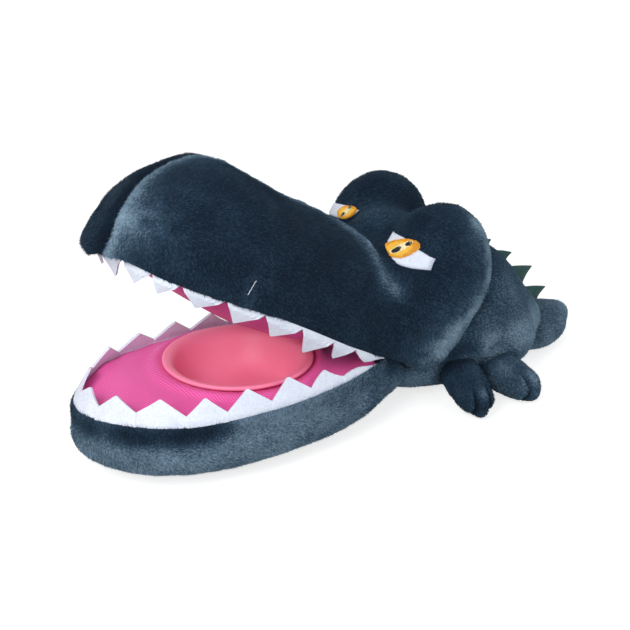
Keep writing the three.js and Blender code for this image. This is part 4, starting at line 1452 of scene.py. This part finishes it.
def stitch_tree():
    """Geometry Nodes: turns each line of edges into one thread, a thin closed tube."""
    tree, given, out = geometry_tree("satin stitches", ("Thread Width", "Float", 0.0004))
    to_curve = node(tree, "GeometryNodeMeshToCurve")
    ring = node(tree, "GeometryNodeCurvePrimitiveCircle", resolution=5)
    tube = node(tree, "GeometryNodeCurveToMesh", fill_caps=True)
    wire(
        tree,
        (given.outputs["Geometry"], to_curve.inputs[0]), (to_curve.outputs[0], tube.inputs["Curve"]),
        (given.outputs["Thread Width"], ring.inputs["Radius"]),
        (ring.outputs[0], tube.inputs["Profile Curve"]),
    )
    finished_mesh(tree, tube.outputs[0], given, out)
    return tree


STITCHES = stitch_tree()


def with_nodes(piece, tree, **values):
    """Runs a Geometry Nodes tree on a piece and keeps the result as a plain mesh."""
    modifier = piece.modifiers.new("nodes", "NODES")
    modifier.node_group = tree
    for item in tree.interface.items_tree:
        key = item.name.replace(" ", "_").lower()
        if item.item_type == "SOCKET" and item.in_out == "INPUT" and key in values:
            modifier[item.identifier] = values[key]
    return applied(piece)


# How much a stitch's length and place vary, how far it bows off the skin and how many points it has
STITCH_LENGTH_VARIES, STITCH_PLACE_VARIES = 0.00012, 0.00006
STITCH_BOW = 0.00035
STITCH_POINTS = 7


def threads(name, lines, thread, material):
    """Threads along some lines of points."""
    points, edges = [], []
    for line in lines:
        start = len(points)
        points.extend(map(tuple, line))
        edges.extend((i, i + 1) for i in range(start, len(points) - 1))
    mesh = bpy.data.meshes.new(name)
    mesh.from_pydata(points, edges, [])
    piece = with_nodes(link(name, mesh), STITCHES, thread_width=thread, material=material)
    return give(piece, material)


def satin(name, oval, lobe, lift, spacing, material, seed, thread=0.0003):
    """Satin stitches across an oval, laid on the skin, each as wide as the oval is there."""
    draws = np.random.default_rng(seed)
    middle, half, tilt = oval
    count = int(2 * half[0] / spacing)
    lines = []
    for k in range(count):
        u = -1 + 2 * (k + 0.5) / count
        reach = half[1] * math.sqrt(1 - u * u) + draws.normal(0, STITCH_LENGTH_VARIES)
        v = np.linspace(-reach, reach, STITCH_POINTS)
        flat = in_oval(u * half[0] + draws.normal(0, STITCH_PLACE_VARIES), v, middle, tilt)
        bow = STITCH_BOW * (1 - (np.abs(v) / max(reach, 1e-6)) ** 4)
        place, normals = on_skin(flat, lobe, lift)
        lines.append(place + normals * bow[:, None])
    return threads(name, lines, thread, material)


def together(pieces, name):
    """Several meshes of one material as one."""
    first = pieces[0]
    work = bmesh.new()
    for piece in pieces:
        work.from_mesh(piece.data)
    work.to_mesh(first.data)
    work.free()
    for piece in pieces[1:]:
        bpy.data.objects.remove(piece)
    return renamed(first, name)


def oval_of(lobe, name):
    middle, half, tilt = lobe[name]
    return np.array(middle) * MM, np.array(half) * MM, math.radians(tilt)


eye_felts = []
for hand, lobe in LOBES.items():
    outline = dense(np.array(lobe["patch"]) * MM, 0.0018)
    white = laid_patch(f"{hand}_eye_felt", outline, lobe, -0.0012, 0.0011)
    finish_piece(give(white, FELT), "head", "white_felt", f"{hand}_eye_patch")
    eye_felts.append(white)
    middle, half, tilt = iris = oval_of(lobe, "iris")
    glow_oval = (middle, half * 0.72, tilt)
    ground = laid_patch(f"{hand}_iris_ground", ellipse(*iris), lobe, 0.0002, 0.0014)
    rows = satin(f"{hand}_iris_rows", iris, lobe, 0.0015, 0.0006, YELLOW_THREAD, 51, 0.00034)
    glow = satin(f"{hand}_iris_glow", glow_oval, lobe, 0.0018, 0.0006, BRIGHT_THREAD, 55)
    slit = satin(f"{hand}_iris_slit", oval_of(lobe, "slit"), lobe, 0.0021, 0.0006, PALE_THREAD, 52)
    pupil = satin(f"{hand}_pupil_rows", oval_of(lobe, "pupil"), lobe, 0.0026, 0.00045, BLACK_THREAD, 53)
    dot = satin(f"{hand}_pupil_dot", oval_of(lobe, "dot"), lobe, 0.0026, 0.0005, BLACK_THREAD, 54)
    iris_piece = give(together([rows, ground], f"{hand}_iris_stitches"), YELLOW_THREAD)
    pupil_piece = give(together([pupil, dot], f"{hand}_pupil_stitches"), BLACK_THREAD)
    finish_piece(iris_piece, "head", "yellow_thread", f"{hand}_iris")
    finish_piece(glow, "head", "yellow_thread")
    finish_piece(slit, "head", "yellow_thread")
    finish_piece(pupil_piece, "head", "black_thread", f"{hand}_pupil")

# The end of the thread that closes the dart over the mouth, lying on the pile
share = np.linspace(0, 1, 9)[:, None]
dart_line = np.array((-141.2, -65.8, 11.0)) * (1 - share) + np.array((-138.6, -65.5, 21.5)) * share
dart_line[:, 0] += 0.5 * np.sin(math.pi * share[:, 0])
found = [SKIN.find_nearest(Vector(p)) for p in from_head(dart_line * MM)]
on_pile = [place + normal * 0.0014 for place, normal, _, _ in found]
dart_thread = threads("dart_thread", [on_pile], 0.00022, WHITE_THREAD)
finish_piece(dart_thread, "head", "white_felt")


# The felt spikes down the back

# Each spike seen from the side, in millimetres: the front end of its foot, its tip and the rear end of its
# foot
SPIKES = (
    ((108.5, 99.5), (130.5, 98.0), (128.5, 89.5)), ((131.0, 88.5), (152.1, 83.0), (143.6, 72.0)),
    ((143.6, 72.0), (175.2, 66.5), (164.3, 50.8)), ((164.3, 50.8), (190.6, 46.0), (179.0, 31.5)),
)
# How deep its foot is sunk in the torso, half its thickness at the edge and what it has more inside
SPIKE_SUNK = 0.006
FELT_EDGE, FELT_SWELL = 0.0010, 0.0009


def spike(number):
    """A sewn felt fin: two layers, parted a little at the foot, with a bowed front edge and a hollow rear
    one."""
    front, tip, rear = (np.array(p) * MM for p in SPIKES[number - 1])
    foot = (rear - front) / np.linalg.norm(rear - front)
    inward = np.array((foot[1], -foot[0]))
    inward *= math.copysign(1, inward @ (front - tip))
    share = np.linspace(0, 1, 15)[:, None]
    top = front + (tip - front) * share - np.sin(math.pi * share) * 0.0009 * inward
    hollow = tip + (rear - tip) * share[1:] + np.sin(math.pi * share[1:]) * 0.0016 * np.array((-0.7, 0.7))
    sunk = np.array((rear + (inward - 0.2 * foot) * SPIKE_SUNK, front + (inward + 0.2 * foot) * SPIKE_SUNK))
    outline = dense(np.vstack((top, hollow, sunk)), 0.0016)
    points, faces = disc_grid(outline, 5)
    distance = np.array([np.min(np.linalg.norm(outline - p, axis=1)) for p in points])
    half = FELT_EDGE + FELT_SWELL * np.sqrt(np.clip(distance / 0.004, 0, 1))
    draws = np.random.default_rng(60 + number)
    bend = draws.normal(0, 0.6) * (np.linalg.norm(points - (front + rear) / 2, axis=1) / 0.012) ** 2 * 0.0004
    sides = [np.column_stack((points[:, 0], bend + out, points[:, 1])) for out in (half, -half)]
    piece = bevelled(pad(f"back_spike_{number}_felt", *sides, faces, len(outline)), 0.0004, 50)
    finish_piece(give(piece, GREEN_FELT), "torso_and_jaw", "green_felt", f"back_spike_{number}")


for number in range(1, 5):
    spike(number)


# The pile: short strands that lie along the plush


def random_value(tree, low, high):
    """A random value for each item, between two numbers."""
    made = node(tree, "FunctionNodeRandomValue", data_type="FLOAT")
    floats = [socket for socket in made.inputs if socket.type == "VALUE"]
    floats[0].default_value, floats[1].default_value = low, high
    return next(socket for socket in made.outputs if socket.type == "VALUE")


def named_values(tree, name, kind):
    made = node(tree, "GeometryNodeInputNamedAttribute", data_type=kind)
    made.inputs["Name"].default_value = name
    return made.outputs["Attribute"]


# How far a strand strays from the way that the pile lies
STRAY = 0.45


def pile_tree():
    """Geometry Nodes: scatters strands over a skin, leaning the way that its "lie" attribute points."""
    tree, given, out = geometry_tree(
        "plush pile", ("Density", "Float", 1.0), ("Strand Length", "Float", 0.0026),
        ("Strand Width", "Float", 0.0002), ("Seed", "Int"),
    )
    scatter = node(tree, "GeometryNodeDistributePointsOnFaces")
    stray = node(
        tree, "FunctionNodeRandomValue", data_type="FLOAT_VECTOR", min=(-STRAY,) * 3, max=(STRAY,) * 3,
    )
    lean, aim = (node(tree, "ShaderNodeVectorMath") for _ in range(2))
    turn = node(tree, "FunctionNodeAlignRotationToVector", axis="Z")
    strand = node(tree, "GeometryNodeMeshCone", vertices=3)
    plant = node(tree, "GeometryNodeInstanceOnPoints")
    tint = node(tree, "GeometryNodeStoreNamedAttribute", data_type="FLOAT", domain="INSTANCE")
    tint.inputs["Name"].default_value = "tint"
    tint_input = next(socket for socket in tint.inputs if socket.name == "Value" and socket.type == "VALUE")
    amount = maths(tree, "MULTIPLY", given.outputs["Density"], named_values(tree, "cover", "FLOAT"))
    wire(
        tree,
        (given.outputs["Geometry"], scatter.inputs["Mesh"]), (amount, scatter.inputs["Density"]),
        (given.outputs["Seed"], scatter.inputs["Seed"]), (given.outputs["Seed"], stray.inputs["Seed"]),
        (named_values(tree, "lie", "FLOAT_VECTOR"), lean.inputs[0]),
        (scatter.outputs["Normal"], lean.inputs[1]),
        (lean.outputs[0], aim.inputs[0]), (stray.outputs["Value"], aim.inputs[1]),
        (aim.outputs[0], turn.inputs["Vector"]), (scatter.outputs["Points"], plant.inputs["Points"]),
        (strand.outputs["Mesh"], plant.inputs["Instance"]),
        (turn.outputs["Rotation"], plant.inputs["Rotation"]),
        (given.outputs["Strand Width"], strand.inputs["Radius Bottom"]),
        (given.outputs["Strand Length"], strand.inputs["Depth"]),
        (random_value(tree, 0.6, 1.25), plant.inputs["Scale"]), (plant.outputs[0], tint.inputs["Geometry"]),
        (random_value(tree, -1.0, 1.0), tint_input),
    )
    finished_mesh(tree, tint.outputs[0], given, out)
    return tree


PILE_TREE = pile_tree()

STRAND_WIDTH = 0.00021
# How much the strands follow the lie of the pile and how much they curl
LIE_SHARE, CURL_SHARE = 1.5, 0.9


def unit(vectors, least):
    return vectors / np.maximum(np.linalg.norm(vectors, axis=1, keepdims=True), least)


def laid_pile(name, skin, body, count, cover, lie, seed, length=0.0020):
    """Grows strands on a skin, as many as count where cover allows, and gives them to the skin's body."""
    mesh = skin.data.copy()
    co, normal = coordinates(mesh), normals_of(mesh)
    cover = np.clip(cover, 0, 1)
    lie = unit(lie, 1e-9)
    flat = unit(lie - normal * np.sum(lie * normal, axis=1, keepdims=True), 0.3)
    curl = np.stack([
        wobble(co, 0.007, seed + k) + 0.7 * wobble(co, 0.018, seed + 3 + k) for k in (0, 1, 2)
    ], axis=1)
    paint(mesh, "cover", cover)
    lying = mesh.attributes.new("lie", "FLOAT_VECTOR", "POINT")
    lying.data.foreach_set("vector", (LIE_SHARE * flat + CURL_SHARE * curl).astype(np.float32).ravel())
    covered = float(sum(face.area * cover[face.vertices[0]] for face in mesh.polygons))
    piece = with_nodes(
        link(name, mesh), PILE_TREE, density=count / covered, strand_length=length, strand_width=STRAND_WIDTH,
        seed=seed, material=PILE_STRANDS,
    )
    give(piece, PILE_STRANDS)
    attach(piece, body)


def clear_of(co, piece, low, high):
    """1 away from another piece, 0 on it."""
    tree = surface_of(piece)
    return smoothstep(low, high, np.array([tree.find_nearest(Vector(p))[3] for p in co]))


def head_pile():
    """Strands that lie towards the back and down, but not under the eyes' felt or inside the mouth."""
    co = coordinates(head_plush.data)
    head = to_head(co)
    inside = rim_inside(head[:, 0], head[:, 1], UPPER_RIM)
    cover = np.maximum(smoothstep(0.0005, 0.003, head[:, 2]), smoothstep(0.0015, 0.0, inside))
    cover *= head[:, 2] > -0.012
    for white in eye_felts:
        cover *= clear_of(co, white, 0.0004, 0.0022)
    slope = smoothstep(0.03, 0.005, head[:, 2])[:, None]
    lie = from_head(head + (1 - slope) * (1.0, 0, -0.35) + slope * (0.5, 0, -1.0)) - co
    left = smoothstep(0.001, -0.001, co[:, 1])
    laid_pile("head_pile_left", head_plush, "head", 49000, cover * left, lie, 71)
    laid_pile("head_pile_right", head_plush, "head", 49000, cover * (1 - left), lie, 72)


def body_pile():
    """Strands that lie towards the back and down, and up along the jaw's lip, but not in the mouth or the
    well."""
    co = coordinates(body_plush.data)
    inside = rim_inside(co[:, 0], co[:, 1], LOWER_RIM)
    mouth = smoothstep(0.0470, 0.0485, co[:, 2]) * smoothstep(0.0008, 0.0016, inside) * (co[:, 0] < -0.001)
    cover = smoothstep(0.0012, 0.003, co[:, 2]) * (1 - mouth) * (1 - bowl_well(co))
    up = (smoothstep(0.030, 0.044, co[:, 2]) * smoothstep(0.01, -0.005, co[:, 0]))[:, None]
    lie = (1 - up) * np.array((1.0, 0, -0.35)) + up * np.array((0.2, 0, 1.0))
    front = smoothstep(0.005, -0.005, co[:, 0])
    laid_pile("jaw_pile", body_plush, "torso_and_jaw", 42000, cover * front, lie, 73)
    laid_pile("torso_pile", body_plush, "torso_and_jaw", 34000, cover * (1 - front), lie, 74, 0.0017)


def limb_pile(piece, body, count, direction, seed):
    co = coordinates(piece.data)
    lie = np.tile(np.array(direction, dtype=float), (len(co), 1))
    name = piece.name.replace("_plush", "_pile")
    laid_pile(name, piece, body, count, smoothstep(0.0012, 0.003, co[:, 2]), lie, seed, 0.0015)


head_pile()
body_pile()
limb_pile(tail_plush, "tail", 9000, (1, 0, -0.2), 75)
for number, (body, piece) in enumerate(leg_plush.items()):
    limb_pile(piece, body, 7000, (0, -1 if "left" in body else 1, -0.3), 76 + number)

for piece, body, fill, nodes in plush_pieces:
    finish_piece(give(piece, PLUSH), body, "plush", *nodes)


# The floor, the lights and the world

# The world's light on the toy, then the floor's grey, how brightly it glows where it is seen directly, and
# half its size
WORLD_LIGHT = 0.58
FLOOR_GREY, FLOOR_GLOW, FLOOR_HALF = 0.55, 0.74, 6


def seen_directly(tree):
    """1 where the camera or a glossy or clear surface looks straight at the background."""
    path = tree.nodes.new("ShaderNodeLightPath")
    seen = maths(tree, "MAXIMUM", path.outputs["Is Camera Ray"], path.outputs["Is Glossy Ray"])
    return maths(tree, "MAXIMUM", seen, path.outputs["Is Transmission Ray"])


def add_floor():
    mesh = bpy.data.meshes.new("floor")
    corners = [(x * FLOOR_HALF, y * FLOOR_HALF, 0) for x, y in ((-1, -1), (1, -1), (1, 1), (-1, 1))]
    mesh.from_pydata(corners, [], [(0, 1, 2, 3)])
    floor = link("floor", mesh)
    material, tree, shader = new_material("floor")
    give(floor, material)
    shader.inputs["Base Color"].default_value = (FLOOR_GREY, FLOOR_GREY, FLOOR_GREY, 1)
    shader.inputs["Roughness"].default_value = 1.0
    shader.inputs["Specular IOR Level"].default_value = 0.0
    shader.inputs["Emission Color"].default_value = (1, 1, 1, 1)
    wire(tree, (maths(tree, "MULTIPLY", seen_directly(tree), FLOOR_GLOW), shader.inputs["Emission Strength"]))


def add_light(name, place, aim, size, power, color):
    data = bpy.data.lights.new(name, "AREA")
    data.shape, data.size, data.energy, data.color = "DISK", size, power, color
    lamp = bpy.data.objects.new(name, data)
    bpy.context.scene.collection.objects.link(lamp)
    lamp.location = place
    lamp.rotation_euler = (Vector(aim) - Vector(place)).to_track_quat("-Z", "Y").to_euler()


def add_world():
    world = bpy.data.worlds.new("world")
    bpy.context.scene.world = world
    world.use_nodes = True
    tree = world.node_tree
    background = tree.nodes["Background"]
    background.inputs["Color"].default_value = (1, 1, 1, 1)
    strength = weighted(tree, WORLD_LIGHT, (seen_directly(tree), 1.0 - WORLD_LIGHT))
    wire(tree, (strength, background.inputs["Strength"]))


add_floor()
add_world()
add_light("key", (-1.0, -0.55, 0.85), (-0.08, 0, 0.08), 0.7, 11, (1.0, 1.0, 1.0))
add_light("fill", (0.2, -1.5, 0.5), (0, 0, 0.05), 1.0, 4.5, (0.82, 0.93, 1.0))

bpy.context.scene.view_settings.view_transform = "Standard"
